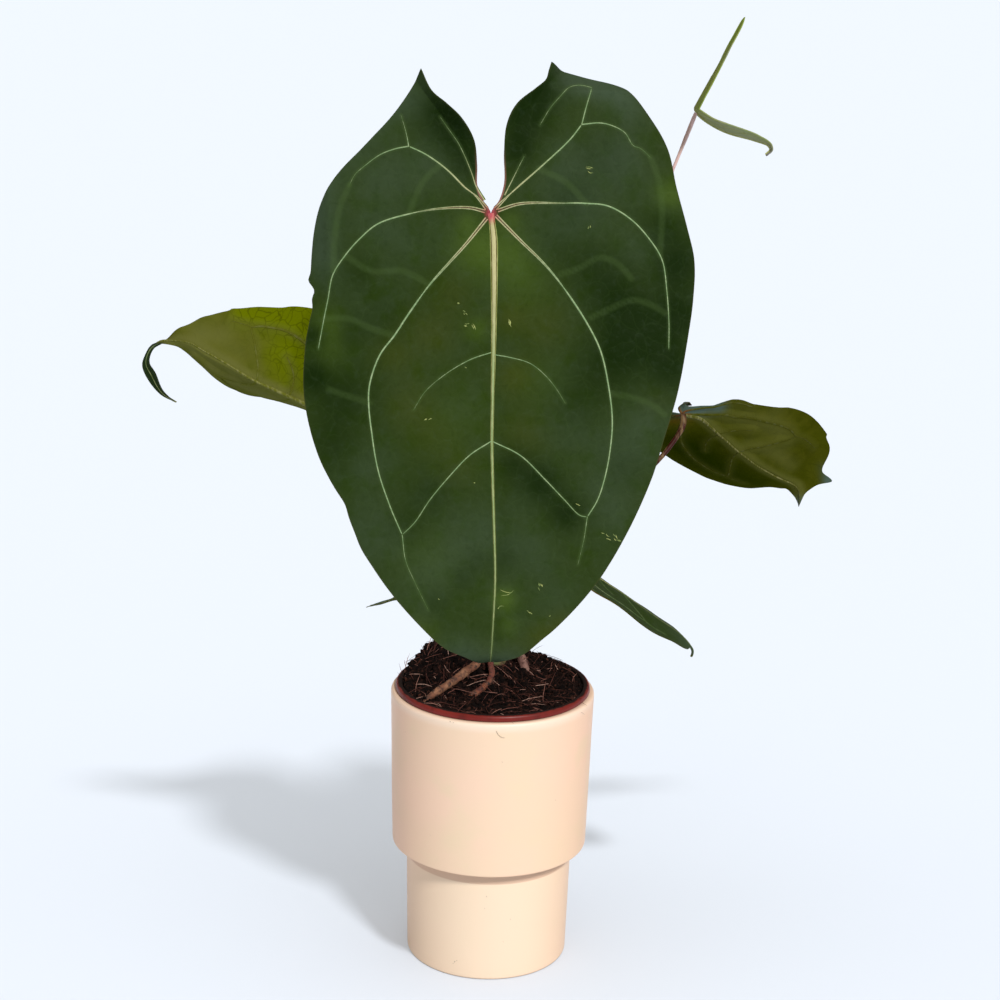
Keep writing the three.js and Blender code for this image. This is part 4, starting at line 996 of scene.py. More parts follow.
# Each leaf's rib points count from its joint, where the stalk meets it. Across is the way to the right half,
# seen from the upper face, tip down. Fold and curl lift the left and right halves, in degrees and in degrees
# per millimetre. A wave has its height, its number along the edge and its start, and a twist its start, end
# and degrees. Body is the length without the drip tip.
LEAVES = {
    "front": dict(
        joint=(-8.2, 8, 467), across=(1, 0, 0), outlines=(FRONT_LEFT, FRONT_RIGHT), body=FRONT_LENGTH,
        rib=[(0, 0, 0), (1.3, -10, -60), (2.8, -24, -129), (4.4, -39, -198), (5.5, -49, -243),
             (5.8, -50, -253), (5.8, -47, -261), (5.6, -39, -265), (5.4, -29, -264)],
        fold=((2, 2), (2, 2)), curl=(-0.09, -0.09), lobe_lift=(-4, -4), wave=(2, 2.5, 0.3),
        rows=12, columns=64,
    ),
    "left": dict(
        joint=(-99.3, 45, 329.3), across=(0, 0.1, 1), outlines=(LEFT_LOW, LEFT_HIGH), body=121,
        rib=[(0, 0, 0), (-22, -2, 11), (-41, -3, 20), (-56, -3, 27), (-69, -2, 34), (-84, 1, 41),
             (-94, 5, 46), (-106, 10, 47), (-115, 13, 45), (-120, 15, 40), (-122.5, 17, 31), (-119, 17, 24),
             (-112, 15, 13.5), (-102, 13, 7.2)],
        fold=((75, 5), (8, 8)), curl=(1.1, -0.1), lobe_lift=(10, 10), wave=(1, 2, 0.1),
        twist=(114, 138, 160), rows=10, columns=40,
    ),
    "right": dict(
        joint=(115.1, 60, 337.3), across=(-0.66, 0.224, -0.67), outlines=(RIGHT_LEFT, RIGHT_RIGHT), body=134,
        rib=[(0, 0, 0), (12.4, 10, -4.6), (26.3, 22, -17.5), (41, 35, -31.5), (56.5, 47, -44), (74, 58, -55),
             (84, 64, -61.5), (86.5, 68, -69.5), (87, 70, -79)],
        fold=((5, 5), (20, 20)), curl=(0.1, 0.2), lobe_lift=(165, 20), wave=(1.2, 2, 0.5),
        rows=10, columns=40,
    ),
    "top": dict(
        joint=(113.8, 60, 524.5), across=(0.086, 0.996, -0.084), outlines=(TOP_HALF, TOP_HALF), body=50,
        rib=[(0, 0, 0), (8, -1, -6), (18, -2, -10.8), (37, -4, -15.8), (44.5, -5, -18.3), (45.8, -5, -21),
             (43, -5, -24)],
        fold=((2, 24), (2, 24)), curl=(0.2, 0.2), lobe_lift=(79, 79), lobe_bend=3.5,
        wave=(0, 2, 0.2), rows=10, columns=24,
    ),
    "low_right": dict(
        joint=(41.4, 80, 238), across=(-0.07, 0.96, -0.2), outlines=(heart(32, 104, 1.4, 9),) * 2, body=104,
        rib=[(0, 0, 0), (27, -2, -17), (46, -4, -28.3), (64.5, -6, -41), (78.5, -8, -50), (88, -10, -60),
             (88.2, -10, -63.6), (87, -10, -66)],
        fold=((-10, -30), (2, 3)), curl=(0.1, -0.2), lobe_lift=(6, 6), wave=(1, 2, 0.6), rows=10, columns=28,
    ),
    "low_left": dict(
        joint=(-14, 95, 235), across=(-0.1, -0.95, 0.2), outlines=(heart(21, 58, 1.2, 24),) * 2, body=58,
        rib=[(0, 0, 0), (-18, -5, -8), (-36, -9, -20), (-48, -12, -30), (-60, -14, -34.5), (-69, -15, -37),
             (-72, -15, -38.5)],
        fold=((6, 6), (6, 6)), curl=(-0.1, -0.1), lobe_lift=(10, 10), wave=(1, 2, 0.1), twist=(50, 64, 75),
        rows=10, columns=28,
    ),
}

# Veins of the front leaf, as (start half width, end half width, length of the paired start, points as across
# and along). Across is negative on the left half. The other leaves carry the same veins in proportion.
VEINS = [
    (0.67, 0.34, 58, [(3, 1.5), (17, 15.5), (32, 30), (42, 42), (56, 62.5), (65, 80), (70, 100.5),
                      (72.5, 121.5), (71, 142), (68, 157), (64, 169), (58, 179)]),
    (0.67, 0.34, 58, [(-2.5, 3), (-15, 18.5), (-24, 28.5), (-36, 42), (-49, 60), (-56.5, 71.5),
                      (-65.5, 83.5), (-71.5, 101), (-72, 113), (-70, 131), (-66.5, 151.5), (-59.5, 172.5),
                      (-52, 190)]),
    (0.57, 0.29, 40, [(4, -1.5), (17, -5.5), (40.5, -6), (55.5, -6), (69, -4.5), (83, 3.5), (94, 15),
                      (101.5, 27), (104.5, 44.5), (106, 62), (106, 79.5)]),
    (0.57, 0.29, 40, [(-3.5, -1), (-12.5, -3), (-30, -2.5), (-47.5, 0.5), (-66.5, 6.5), (-77, 15), (-86, 25),
                      (-93.5, 36.5), (-96.5, 51), (-99, 63), (-102.5, 80.5)]),
    (0.59, 0.38, 12, [(2.5, -2.5), (11, -11), (28.5, -26.5), (46, -43), (53, -52)]),
    (0.59, 0.38, 12, [(-2.5, -2.5), (-9, -10), (-15.5, -15), (-24, -23.5), (-30, -28.5), (-39, -34.5),
                      (-48.5, -39)]),
    (0.42, 0.17, 0, [(53, -52), (64, -53), (71, -51.5), (78.5, -47.5), (83.5, -40), (87.5, -38.5),
                     (93.5, -33.5)]),
    (0.38, 0.29, 0, [(53, -52), (55.5, -62), (59, -74)]),
    (0.29, 0.17, 0, [(59, -74), (52, -75.5), (46, -74), (40, -68), (34.5, -61.5), (28.5, -51.5)]),
    (0.42, 0.17, 0, [(-48.5, -39), (-56.5, -37.5), (-65.5, -34), (-74.5, -27.5), (-80, -22.5),
                     (-83.5, -16)]),
    (0.34, 0.13, 0, [(-48.5, -39), (-50, -46.5), (-53, -57)]),
    (0.42, 0.13, 0, [(-4, -7.5), (-9, -16), (-11, -22), (-15, -32), (-19.5, -41), (-25.5, -49.5),
                     (-30, -56)]),
    (0.38, 0.17, 0, [(8, -10.5), (12.5, -19.5), (16, -26.5), (19.5, -33.5)]),
    (0.35, 0.17, 0, [(1, 81.5), (-12, 86), (-27, 95), (-38.5, 105), (-45.5, 116)]),
    (0.35, 0.17, 0, [(2.5, 83), (11.5, 84.5), (23.5, 88), (32.5, 95), (39.5, 103.5), (44.5, 111.5)]),
    (0.38, 0.27, 0, [(1, 134), (-12, 142.5), (-23.5, 154.5), (-35.5, 169), (-44.5, 182.5), (-52, 190)]),
    (0.38, 0.3, 0, [(2, 134.5), (18, 142.5), (33, 157), (44.5, 169), (53.5, 178), (58, 179)]),
    (0.3, 0.1, 0, [(58, 179), (56, 192.5), (52.5, 207.5)]),
    (0.3, 0.1, 0, [(-52, 190), (-50, 205), (-45, 217), (-36.5, 234.5)]),
]
# The midrib of the front leaf, which runs a little right of the fold
MIDRIB = [(0, 0), (1.6, 14), (2, 27), (2, 68), (1.5, 110), (1.2, 136), (2.5, 181), (3.4, 216), (2.2, 243),
          (1, 262), (0, 284)]
# Faint cross veins that show as a paler line only
FAINT_VEINS = [
    [(41, 35.5), (51.5, 32), (64.5, 25.5), (75, 29.5), (83, 38)],
    [(59, 61), (72, 55), (83.5, 50.5), (93.5, 52.5), (104, 58)],
    [(71.5, 105.5), (83, 107.5), (95, 111.5), (104, 118)],
    [(94, -33), (99, -18), (101, 2), (100, 24)],
    [(-83.5, -16), (-89, -2), (-92, 15), (-93, 34)],
    [(-57, 72), (-70, 68), (-84, 62), (-98, 62)],
    [(-71, 112), (-84, 108), (-96, 104)],
    [(-30, -28), (-40, -18), (-48, 0)],
    [(28, -26), (44, -18), (56, -6)],
    [(-36, 42), (-52, 34), (-70, 34), (-86, 25)],
]


def length_of(rows):
    return np.linalg.norm(rows, axis=1, keepdims=True)


def lay_spine(leaf):
    """The midrib's line, with the way down the leaf and the way across it at each point."""
    at, along = evenly(leaf["rib"], SPINE_STEPS)
    down = np.gradient(at, axis=0)
    down /= length_of(down)
    side = np.zeros_like(down)
    across = np.array(leaf["across"], float)
    for step, way in enumerate(down):
        across = across - across.dot(way) * way
        across /= np.linalg.norm(across)
        side[step] = across
    start, end, degrees = leaf.get("twist", (0, 1, 0))
    turn = np.radians(degrees) * smooth_step(along, start, end)[:, None]
    side = side * np.cos(turn) + np.cross(down, side) * np.sin(turn)
    return along, at, down, side


def lay_points(leaf, across, along):
    """Points of the blade, in millimetres, at signed distances across it and along it."""
    line, at, down, side = leaf["spine"]
    half = np.where(across < 0, -1.0, 1.0)
    which = (across >= 0).astype(int)
    lift = np.radians(np.array(leaf["lobe_lift"], float))[which]
    above = np.minimum(along, 0)
    bend = leaf.get("lobe_bend", LOBE_BEND)
    turn = lift * np.minimum(1, -above / bend)
    arc = bend / lift
    rest = np.maximum(0, -above - bend)
    out = np.cross(down[0], side[0])
    back = -(arc * np.sin(turn) + rest * np.cos(turn))
    rise = arc * (1 - np.cos(turn)) + rest * np.sin(turn)
    lobe_at = back[:, None] * down[0] + rise[:, None] * out
    lobe_out = np.cos(turn)[:, None] * out + np.sin(turn)[:, None] * down[0]

    def read(rows):
        return np.stack([np.interp(along, line, rows[:, axis]) for axis in range(3)], axis=1)

    in_lobe = (along < 0)[:, None]
    here = np.where(in_lobe, lobe_at, read(at))
    sideways = np.where(in_lobe, side[0], read(side))
    outwards = np.where(in_lobe, lobe_out, np.cross(read(down), read(side)))
    folds = np.radians(np.array(leaf["fold"], float))[which]
    fold = folds[:, 0] + (folds[:, 1] - folds[:, 0]) * np.clip(along / leaf["span"], 0, 1)
    bend = np.radians(np.array(leaf["curl"], float))[which]
    bend = np.where(np.abs(bend) < 1e-6, 1e-6, bend)
    far = np.abs(across)
    wide = (np.sin(fold + bend * far) - np.sin(fold)) / bend
    high = (np.cos(fold) - np.cos(fold + bend * far)) / bend
    wave, count, phase = leaf["wave"]
    share = far / leaf["reach"]
    ripple = wave * share**2 * np.sin(2 * np.pi * (count * along / leaf["span"] + phase + 0.2 * half))
    points = here + (half * wide)[:, None] * sideways + (high + ripple)[:, None] * outwards
    return points + np.array(leaf["joint"]), outwards


def lay_normals(leaf, across, along):
    """Directions out of the upper face."""
    small = 0.4
    half = np.where(across < 0, -1.0, 1.0)
    near_rib = (np.abs(across) < small) & (along >= 0)
    low = half * np.maximum(np.abs(across) - small, 0)
    over = lay_points(leaf, across + half * small, along)[0] - lay_points(leaf, low, along)[0]
    onward = lay_points(leaf, across, along + small)[0] - lay_points(leaf, across, along - small)[0]
    facing = np.cross(onward, over) * half[:, None]
    facing /= length_of(facing)
    middle = lay_points(leaf, across, along)[1]
    facing = np.where(near_rib[:, None], middle / length_of(middle), facing)
    return facing


def outline_reach(leaf, half, along):
    """How wide one half is at a distance along."""
    outer = np.array(leaf["outlines"][half])[:, 2:]
    return np.interp(along, outer[:, 1], outer[:, 0])


def carry_over(leaf, points):
    """Takes points of the front leaf's pattern to the same place on another leaf."""
    front = LEAVES["front"]
    if leaf is front:
        return np.array(points, float)
    moved = []
    for across, along in points:
        half = 1 if across >= 0 else 0
        lobe = leaf["outlines"][half][0][1] / front["outlines"][half][0][1]
        new_along = along * (leaf["body"] / front["body"] if along >= 0 else lobe)
        wide = outline_reach(leaf, half, new_along) / max(outline_reach(front, half, along), 1)
        moved.append((across * wide, new_along))
    return np.array(moved)


def sampled(points):
    """The smooth line through the points, with a point about every 1.2 mm."""
    whole = evenly(points, 1)[1][-1]
    return evenly(points, max(6, math.ceil(whole / VEIN_SPACING)))[0]


def nearest(points, lines):
    """Distance from each point to the closest of the lines' points."""
    spots = np.concatenate(lines)
    finder = kdtree.KDTree(len(spots))
    for index, (x, y) in enumerate(spots):
        finder.insert((x, y, 0), index)
    finder.balance()
    return np.array([finder.find((x, y, 0))[2] for x, y in points])


def relief(leaf, across, along, to_vein):
    """How far the blade's skin stands off the smooth sheet: puffed between veins, creased and uneven."""
    size = min(1.0, leaf["reach"] / 60)
    puff = PUFF * size * (1 - np.exp(-to_vein / (PUFF_REACH * size)))
    uneven = np.array([
        noise.noise(Vector((x / 34, y / 42, leaf["reach"])))
        + 0.35 * noise.noise(Vector((x / 11, y / 13, 5)))
        for x, y in zip(across, along)
    ])
    calm = smooth_step(np.hypot(across, along), 3, 40)
    rise = puff + UNEVENNESS * size * uneven * calm
    if leaf is LEAVES["front"]:
        # Its top right edge rolls back, its notch edges stand up and its left edge droops
        top_right = np.maximum(0, -72 - along) * smooth_step(across, 34, 44)
        notch_left = np.maximum(0, 0.75 * (-along - 34) - (-across - 12)) * (across < 0)
        notch_right = np.maximum(0, 0.8 * (-along - 44) - (across - 8)) * (across > 0)
        left_edge = np.maximum(0, -across - 96) * smooth_step(along, 70, 20)
        rise += -1.1 * top_right + 0.8 * notch_left * smooth_step(-along, 30, 60)
        rise += 0.7 * notch_right * smooth_step(-along, 36, 62) - 0.5 * left_edge
    return rise


for leaf in LEAVES.values():
    stations = np.concatenate([np.array(outline) for outline in leaf["outlines"]])
    leaf["reach"] = stations[:, 2].max()
    leaf["span"] = stations[:, 3].max()
    leaf["spine"] = lay_spine(leaf)
    leaf["veins"] = [sampled(carry_over(leaf, points)) for *_, points in VEINS]
    leaf["midrib"] = sampled(carry_over(leaf, MIDRIB))
    leaf["faint"] = [sampled(carry_over(leaf, points)) for points in FAINT_VEINS]

# Where a leaf's colour is uneven, by kind, as (across, along, radius, strength). On the top side "light" is
# yellow green, in part painted light shining through the blade, "dark" deep green, mostly painted shade
# where the blade curls and folds away from the light, "grey" a slate grey painted as the velvet's sheen and
# "olive" brown green. The lower face has the first three too, and "brown", a warm stain, and "satin", a
# pale dull sheen painted along the folds.
UNEVEN = {
    "front": {
        "light": [(-9, 20, 13, 0.7), (13, 24, 14, 0.6), (20, 42, 14, 0.3), (-98, 69, 9, 0.8),
                  (-94, 84, 9, 0.4), (106, -11, 8, 0.8), (9, 228, 6, 0.9), (-8, 68, 6, 0.5),
                  (-36, 205, 14, 0.25), (-20, 120, 20, 0.2), (-43, 250, 8, 0.4), (12, 244, 5, 0.4),
                  (34, 100, 14, 0.25), (-14, 5, 5, 0.4), (12, 4, 5, 0.4)],
        "dark": [(-30, -60, 12, 0.9), (-21, -45, 12, 0.9), (-12, -29, 9, 0.8), (28, -72, 11, 1),
                 (20, -54, 12, 1), (15, -36, 9, 0.9), (111, 29, 13, 1), (112, 59, 14, 1), (108, 90, 14, 0.9),
                 (102, 7, 10, 0.6), (74, 47, 17, 0.8), (85, 71, 15, 0.9), (70, 88, 18, 0.7),
                 (58, 29, 13, 0.4), (-106, 72, 8, 0.9), (-107, 96, 9, 0.9), (-87, 108, 18, 0.7),
                 (-95, 138, 14, 0.5), (-84, 72, 9, 0.4), (30, 159, 11, 1), (46, 177, 10, 1),
                 (14, 147, 9, 0.7), (-35, 165, 11, 0.45), (-49, 183, 9, 0.4), (-16, 216, 6, 0.4),
                 (-8, 206, 6, 0.3), (9, 203, 7, 0.4), (-30, 230, 7, 0.3), (0, 284, 5, 0.6),
                 (-62, 60, 12, 0.3), (80, 150, 12, 0.3), (-78, 36, 9, 0.4), (47, -8, 12, 0.4),
                 (66, -34, 14, 0.3), (50, 110, 16, 0.4), (34, 20, 12, 0.3)],
        "grey": [(-103, -18, 11, 0.7), (-103, -2, 11, 0.6), (-102, 14, 11, 0.6), (-101, 30, 9, 0.6),
                 (-90, -38, 12, 0.6), (-76, -54, 11, 0.7), (-60, -64, 10, 0.6), (-46, -66, 9, 0.5),
                 (-35, -29, 14, 0.4), (-62, -20, 16, 0.4), (-60, 14, 16, 0.25), (46, -80, 8, 0.9),
                 (58, -77, 8, 0.9), (70, -74, 8, 0.8), (80, -64, 9, 0.6), (48, -24, 16, 0.4),
                 (76, -32, 14, 0.5), (58, 0, 16, 0.35), (30, 12, 14, 0.25), (91, 120, 14, 0.35),
                 (80, 144, 14, 0.35), (72, 170, 14, 0.4), (-70, 190, 16, 0.3), (-10, 190, 18, 0.35),
                 (24, 200, 14, 0.35), (-36, 214, 14, 0.4), (0, 276, 12, 1), (-70, 150, 12, 0.3),
                 (-16, 264, 11, 0.8), (14, 268, 10, 0.8), (40, 228, 12, 0.3), (48, 130, 16, 0.2),
                 (88, 20, 10, 0.3)],
        "olive": [(-35, 71, 13, 0.6), (-22, 47, 11, 0.4), (14, 96, 10, 0.7), (-57, 84, 10, 0.5),
                  (-35, 130, 12, 0.3), (31, 253, 9, 0.7), (44, 243, 8, 0.6), (15, 260, 7, 0.3),
                  (-43, 256, 10, 0.5), (33, 66, 13, 0.5), (-48, 112, 13, 0.5), (20, 130, 12, 0.5),
                  (0, 270, 12, 0.6), (100, 110, 9, 0.3), (-20, 150, 12, 0.3), (12, 60, 9, 0.6)],
    },
    "left": {
        "grey": [(0, 128, 5, 0.6), (0, 136, 6, 0.9), (0, 146, 8, 1), (0, 158, 9, 1), (0, 170, 9, 1)],
        "dark": [(0, 136, 7, 0.6), (0, 148, 9, 0.7), (0, 162, 10, 0.7), (0, 174, 8, 0.7)],
        "light": [(54, 30, 13, 1), (52, 46, 12, 1), (46, 60, 11, 1), (39, 74, 9, 1), (33, 87, 7, 0.8),
                  (30, 38, 14, 0.7), (12, 38, 12, 0.6), (22, 54, 10, 0.5)],
        "satin": [(-10, 22, 10, 0.7), (-12, 40, 9, 0.8), (-12, 56, 8, 0.8), (-11, 72, 8, 0.8),
                  (-8, 88, 6, 0.8), (-5, 101, 4, 0.7), (8, 104, 7, 0.6), (15, 92, 8, 0.5), (10, 76, 8, 0.3)],
    },
    "right": {
        "grey": [(-2, -6, 6, 1), (-5, 4, 6, 1), (-8, 12, 6, 1), (-13, 20, 4, 1), (-21, 128, 3.5, 1),
                 (0, 138, 4, 0.7)],
        "dark": [(28, 40, 16, 0.8), (26, 62, 16, 0.8), (22, 86, 14, 0.7), (16, 106, 12, 0.5)],
        "light": [(8, 22, 12, 0.4)],
        "satin": [(-12, 30, 7, 0.4), (-18, 41, 7, 0.5), (-23, 53, 7, 0.5), (-26, 65, 7, 0.5),
                  (-27, 77, 7, 0.5), (-24, 89, 6, 0.4), (-7, 62, 5, 0.4), (-10, 71, 5, 0.5),
                  (-12, 80, 5, 0.5), (-13, 89, 5, 0.5), (-12, 98, 5, 0.5), (-10, 107, 5, 0.4),
                  (-38, 56, 7, 0.3)],
        "brown": [(9, 6, 9, 0.4), (-6, 10, 6, 0.2)],
    },
    "top": {
        "grey": [(0, 55, 4, 0.8), (0, 61, 4, 0.9), (-14, 10, 12, 0.35), (14, 10, 12, 0.35),
                 (-13, 28, 12, 0.35), (13, 28, 12, 0.35), (0, 42, 9, 0.3), (-24, -40, 5, 0.4),
                 (24, -40, 5, 0.4)],
        "brown": [(0, 0, 4, 0.8)], "olive": [(0, 0, 4, 0.8)],
    },
    "low_right": {
        "grey": [(0, 96, 14, 0.3), (0, 106, 8, 0.6)], "brown": [(-20, 24, 16, 1), (20, 24, 16, 1)],
    },
    "low_left": {"grey": [(0, 68, 8, 0.5), (0, 78, 8, 0.9)]},
}
# Dents in a margin, as (half, along, depth, half length)
DENTS = {"front": [(0, 46, 2.2, 3.5), (0, 40, -1.6, 3), (0, 56, 1, 5), (0, 172, 1.2, 6), (0, 199, -0.8, 8)]}


def build_blade(label, leaf, upper, under):
    """One blade with its two skins, in which each point carries its distances and colour patches."""
    places = []
    faces = []
    edge_gap = []
    for half, sign in ((0, -1), (1, 1)):
        outline = np.array(leaf["outlines"][half], float)
        rows = (len(outline) - 1) * leaf["rows"]
        rungs = np.linspace(0, len(outline) - 1, rows + 1)
        inner = through(outline[:, :2], rungs)
        outer = through(outline[:, 2:], rungs)
        for which, place, depth, reach in DENTS.get(label, []):
            if which == half:
                outer[:, 0] -= depth * np.exp(-(((outer[:, 1] - place) / reach) ** 2))
        joint_row = int(np.argmax(outline[:, 0] == 0)) * leaf["rows"]
        inner[joint_row:, 0] = 0
        inner[joint_row:, 1] = np.interp(rungs[joint_row:], range(len(outline)), outline[:, 1])
        share = np.linspace(0, 1, leaf["columns"] + 1)[None, :]
        grid = [inner[:, axis, None] * (1 - share) + outer[:, axis, None] * share for axis in (0, 1)]
        across = np.maximum(grid[0], 0)
        run = np.linalg.norm(outer - inner, axis=1)[:, None]
        gap = run * (1 - share)
        gap[:joint_row] = np.minimum(gap[:joint_row], (run * share)[:joint_row])
        start = sum(len(place) for place in places)
        places.append(np.stack([sign * across.ravel(), grid[1].ravel()], axis=1))
        if sign < 0:
            places[-1][:, 0] = np.minimum(places[-1][:, 0], -1e-9)
        edge_gap.append(gap.ravel())
        width = leaf["columns"] + 1
        for row in range(rows):
            for column in range(leaf["columns"]):
                a = start + row * width + column
                corners = (a, a + width, a + width + 1, a + 1)
                faces.append(corners if sign > 0 else corners[::-1])
    flat = np.concatenate(places)
    across, along = flat[:, 0], flat[:, 1]
    to_vein = nearest(flat, [*leaf["veins"], leaf["midrib"]])
    points = lay_points(leaf, across, along)[0]
    points += lay_normals(leaf, across, along) * relief(leaf, across, along, to_vein)[:, None]
    mesh = bpy.data.meshes.new("leaf_" + label)
    mesh.from_pydata((points * MM).tolist(), [], faces)
    values = {}
    for kind in ("light", "dark", "grey", "olive", "brown", "satin"):
        spread = np.zeros(len(flat))
        for x, y, radius, strength in UNEVEN[label].get(kind, []):
            spread += strength * np.exp(-((across - x) ** 2 + (along - y) ** 2) / (1.35 * radius**2))
        values[kind] = np.minimum(spread, 1)
    values |= {
        "to_vein": to_vein, "to_faint_vein": nearest(flat, leaf["faint"]),
        "to_margin": np.concatenate(edge_gap), "from_joint": np.hypot(across, along),
        "to_rib": nearest(flat, [leaf["midrib"]]),
    }
    for name, value in values.items():
        mesh.attributes.new(name, "FLOAT", "POINT").data.foreach_set("value", value.astype(np.float32))
    chart = mesh.uv_layers.new(name="leaf")
    corners = np.zeros(len(mesh.loops), np.int32)
    mesh.loops.foreach_get("vertex_index", corners)
    chart.data.foreach_set("uv", (flat[corners] / 100).astype(np.float32).ravel())
    shape = bmesh.new()
    shape.from_mesh(mesh)
    bmesh.ops.remove_doubles(shape, verts=shape.verts, dist=1e-6)
    bmesh.ops.dissolve_degenerate(shape, edges=shape.edges, dist=1e-7)
    piece = finished("leaf_" + label, shape)
    piece.data.materials.append(upper)
    piece.data.materials.append(under)
    sheet = piece.modifiers.new("two skins", "SOLIDIFY")
    sheet.thickness = BLADE_THICKNESS * MM
    sheet.offset = 0
    sheet.material_offset = 1
    sheet.material_offset_rim = 1
    frozen(piece)
    piece.data.set_sharp_from_angle(angle=math.radians(50))
    return piece


# The fine mesh of veinlets between the veins
leaf_net, given, out = new_group(
    "veinlet net", [("Vector", "Vector", None), ("Scale", "Float", 9.0), ("Width", "Float", 0.05)],
    [("Mask", "Float"), ("Puff", "Float")],
)
warp = put(leaf_net, "ShaderNodeTexNoise", {"Vector": given["Vector"], "Scale": 5.0, "Detail": 2.0})
warped = moved(leaf_net, "MULTIPLY_ADD", {
    0: warp.outputs["Color"], 1: (0.16, 0.16, 0.16), 2: given["Vector"],
})
meshes = put(leaf_net, "ShaderNodeTexVoronoi", {"Vector": warped, "Scale": given["Scale"]},
             feature="DISTANCE_TO_EDGE")
to_net = meshes.outputs["Distance"]
leaf_net.links.new(ranged(leaf_net, to_net, given["Width"], 0.0), out["Mask"])
leaf_net.links.new(ranged(leaf_net, to_net, 0.0, 0.3), out["Puff"])


def leaf_chart(tree):
    return put(tree, "ShaderNodeUVMap", uv_map="leaf").outputs[0]


def through_light(tree, skin, colour, share):
    """Lets some light through a thin blade."""
    glow = put(tree, "ShaderNodeBsdfTranslucent", {"Color": colour})
    mixed = put(tree, "ShaderNodeMixShader", {0: share, 1: skin.outputs[0], 2: glow.outputs[0]})
    tree.links.new(mixed.outputs[0], tree.nodes["Material Output"].inputs["Surface"])


NOTCH_EDGE = (150, 98, 92)
JOINT_BLUSH = (170, 56, 80)
MARGIN_BROWN = (72, 70, 42)
BROWN_BENEATH = (124, 84, 30)


def velvet_skin(name, main, second, third, light, dark, grey, olive, pale, through_share):
    """The upper face: velvet from tiny pimples that catch the light at a slant."""
    material, tree, skin = new_finish(name, 0.65, Specular_IOR_Level=0.06, Sheen_Weight=0.02,
                                      Sheen_Roughness=0.45, Sheen_Tint=daylight(190, 210, 180))
    chart = leaf_chart(tree)
    patches = patched(tree, chart, 3.4, main, second, third)
    mottle = put(tree, "ShaderNodeTexNoise", {
        "Vector": chart, "Scale": 26.0, "Detail": 4.0, "Distortion": 0.6,
    }).outputs[0]
    net = use_group(tree, leaf_net, {"Vector": chart, "Scale": 9.0, "Width": 0.045})
    pimples = clouds(tree, chart, 420.0, 1.0)
    from_joint = stored(tree, "from_joint")
    to_margin = stored(tree, "to_margin")
    # Painted light and shade: the "light" patches paint light shining through the blade, the "dark" ones
    # shade where it curls and folds, and the "grey" ones the velvet's sheen
    colour = layered(
        tree, patches["Colour"],
        (times(tree, stored(tree, "olive"), 0.8), olive),
        (times(tree, stored(tree, "light"), 0.8), light),
        (times(tree, stored(tree, "grey"), 0.75), grey),
        (times(tree, stored(tree, "dark"), 0.95), dark),
        (ranged(tree, mottle, 0.5, 0.75, 0.0, 0.18), dark),
        (ranged(tree, mottle, 0.5, 0.25, 0.0, 0.1), grey),
        (ranged(tree, stored(tree, "to_vein"), 1.9, 0.4, 0.0, 0.2), pale),
        (ranged(tree, stored(tree, "to_faint_vein"), 3.0, 0.6, 0.0, 0.17), pale),
        (times(tree, net["Mask"], 0.04), pale),
        (ranged(tree, pimples, 0.35, 0.65, 0.0, 0.1), dark),
        (times(tree, ranged(tree, to_margin, 1.5, 0.3), ranged(tree, from_joint, 42.0, 10.0)), NOTCH_EDGE),
        (ranged(tree, from_joint, 5.0, 1.2, 0.0, 0.7), JOINT_BLUSH),
        (ranged(tree, to_margin, 0.8, 0.1, 0.0, 0.4), MARGIN_BROWN),
    )
    coloured(tree, skin, colour)
    tree.links.new(ranged(tree, patches["Spread"], 0.3, 0.7, 0.58, 0.7), skin.inputs["Roughness"])
    height = plus(tree, times(tree, net["Puff"], 0.35), times(tree, clouds(tree, chart, 60.0, 3.0), 0.25))
    height = plus(tree, height, times(tree, mottle, 0.9))
    bumped(tree, skin, plus(tree, height, times(tree, pimples, 0.12)), 0.4, 0.0008)
    through_light(tree, skin, colour, through_share)
    return material


def under_skin(name, main, second, third, light, dark, vein, rib, slate, through_colour, through_share):
    """The lower face: duller, paler, with the net of veinlets raised on it."""
    material, tree, skin = new_finish(name, 0.75, Specular_IOR_Level=0.0)
    chart = leaf_chart(tree)
    net = use_group(tree, leaf_net, {"Vector": chart, "Scale": 16.0, "Width": 0.055})
    to_vein = stored(tree, "to_vein")
    lit = stored(tree, "light")
    grain = clouds(tree, chart, 300.0, 2.0)
    # Painted light and shade: the "light" patches paint light shining through the blade, with the veinlet net
    # dark against it, the "dark" ones shade, the "grey" ones the velvet's sheen where a fold shows it, and
    # "satin" and the rib colour beside the veins a painted sheen along the folds and ridges
    colour = layered(
        tree, patched(tree, chart, 5.0, main, second, third)["Colour"],
        (lit, light),
        (stored(tree, "dark"), dark),
        (stored(tree, "satin"), rib),
        (stored(tree, "brown"), BROWN_BENEATH),
        (ranged(tree, to_vein, 6.0, 0.5, 0.0, 0.2), rib),
        (times(tree, net["Mask"], plus(tree, times(tree, lit, 0.6), 0.04)), dark),
        (ranged(tree, to_vein, 3.0, 0.4, 0.0, 0.4), vein),
        (ranged(tree, stored(tree, "to_rib"), 7.0, 1.5, 0.0, 0.6), rib),
        (stored(tree, "grey"), slate),
        (ranged(tree, grain, 0.35, 0.7, 0.0, 0.25), third),
    )
    coloured(tree, skin, colour)
    height = plus(tree, times(tree, net["Mask"], 0.5), times(tree, grain, 0.2))
    bumped(tree, skin, plus(tree, height, ranged(tree, to_vein, 9.0, 0.5, 0.0, 4.0)), 0.4, 0.0005)
    through_light(tree, skin, blended(tree, 0.5, colour, through_colour), through_share)
    return material


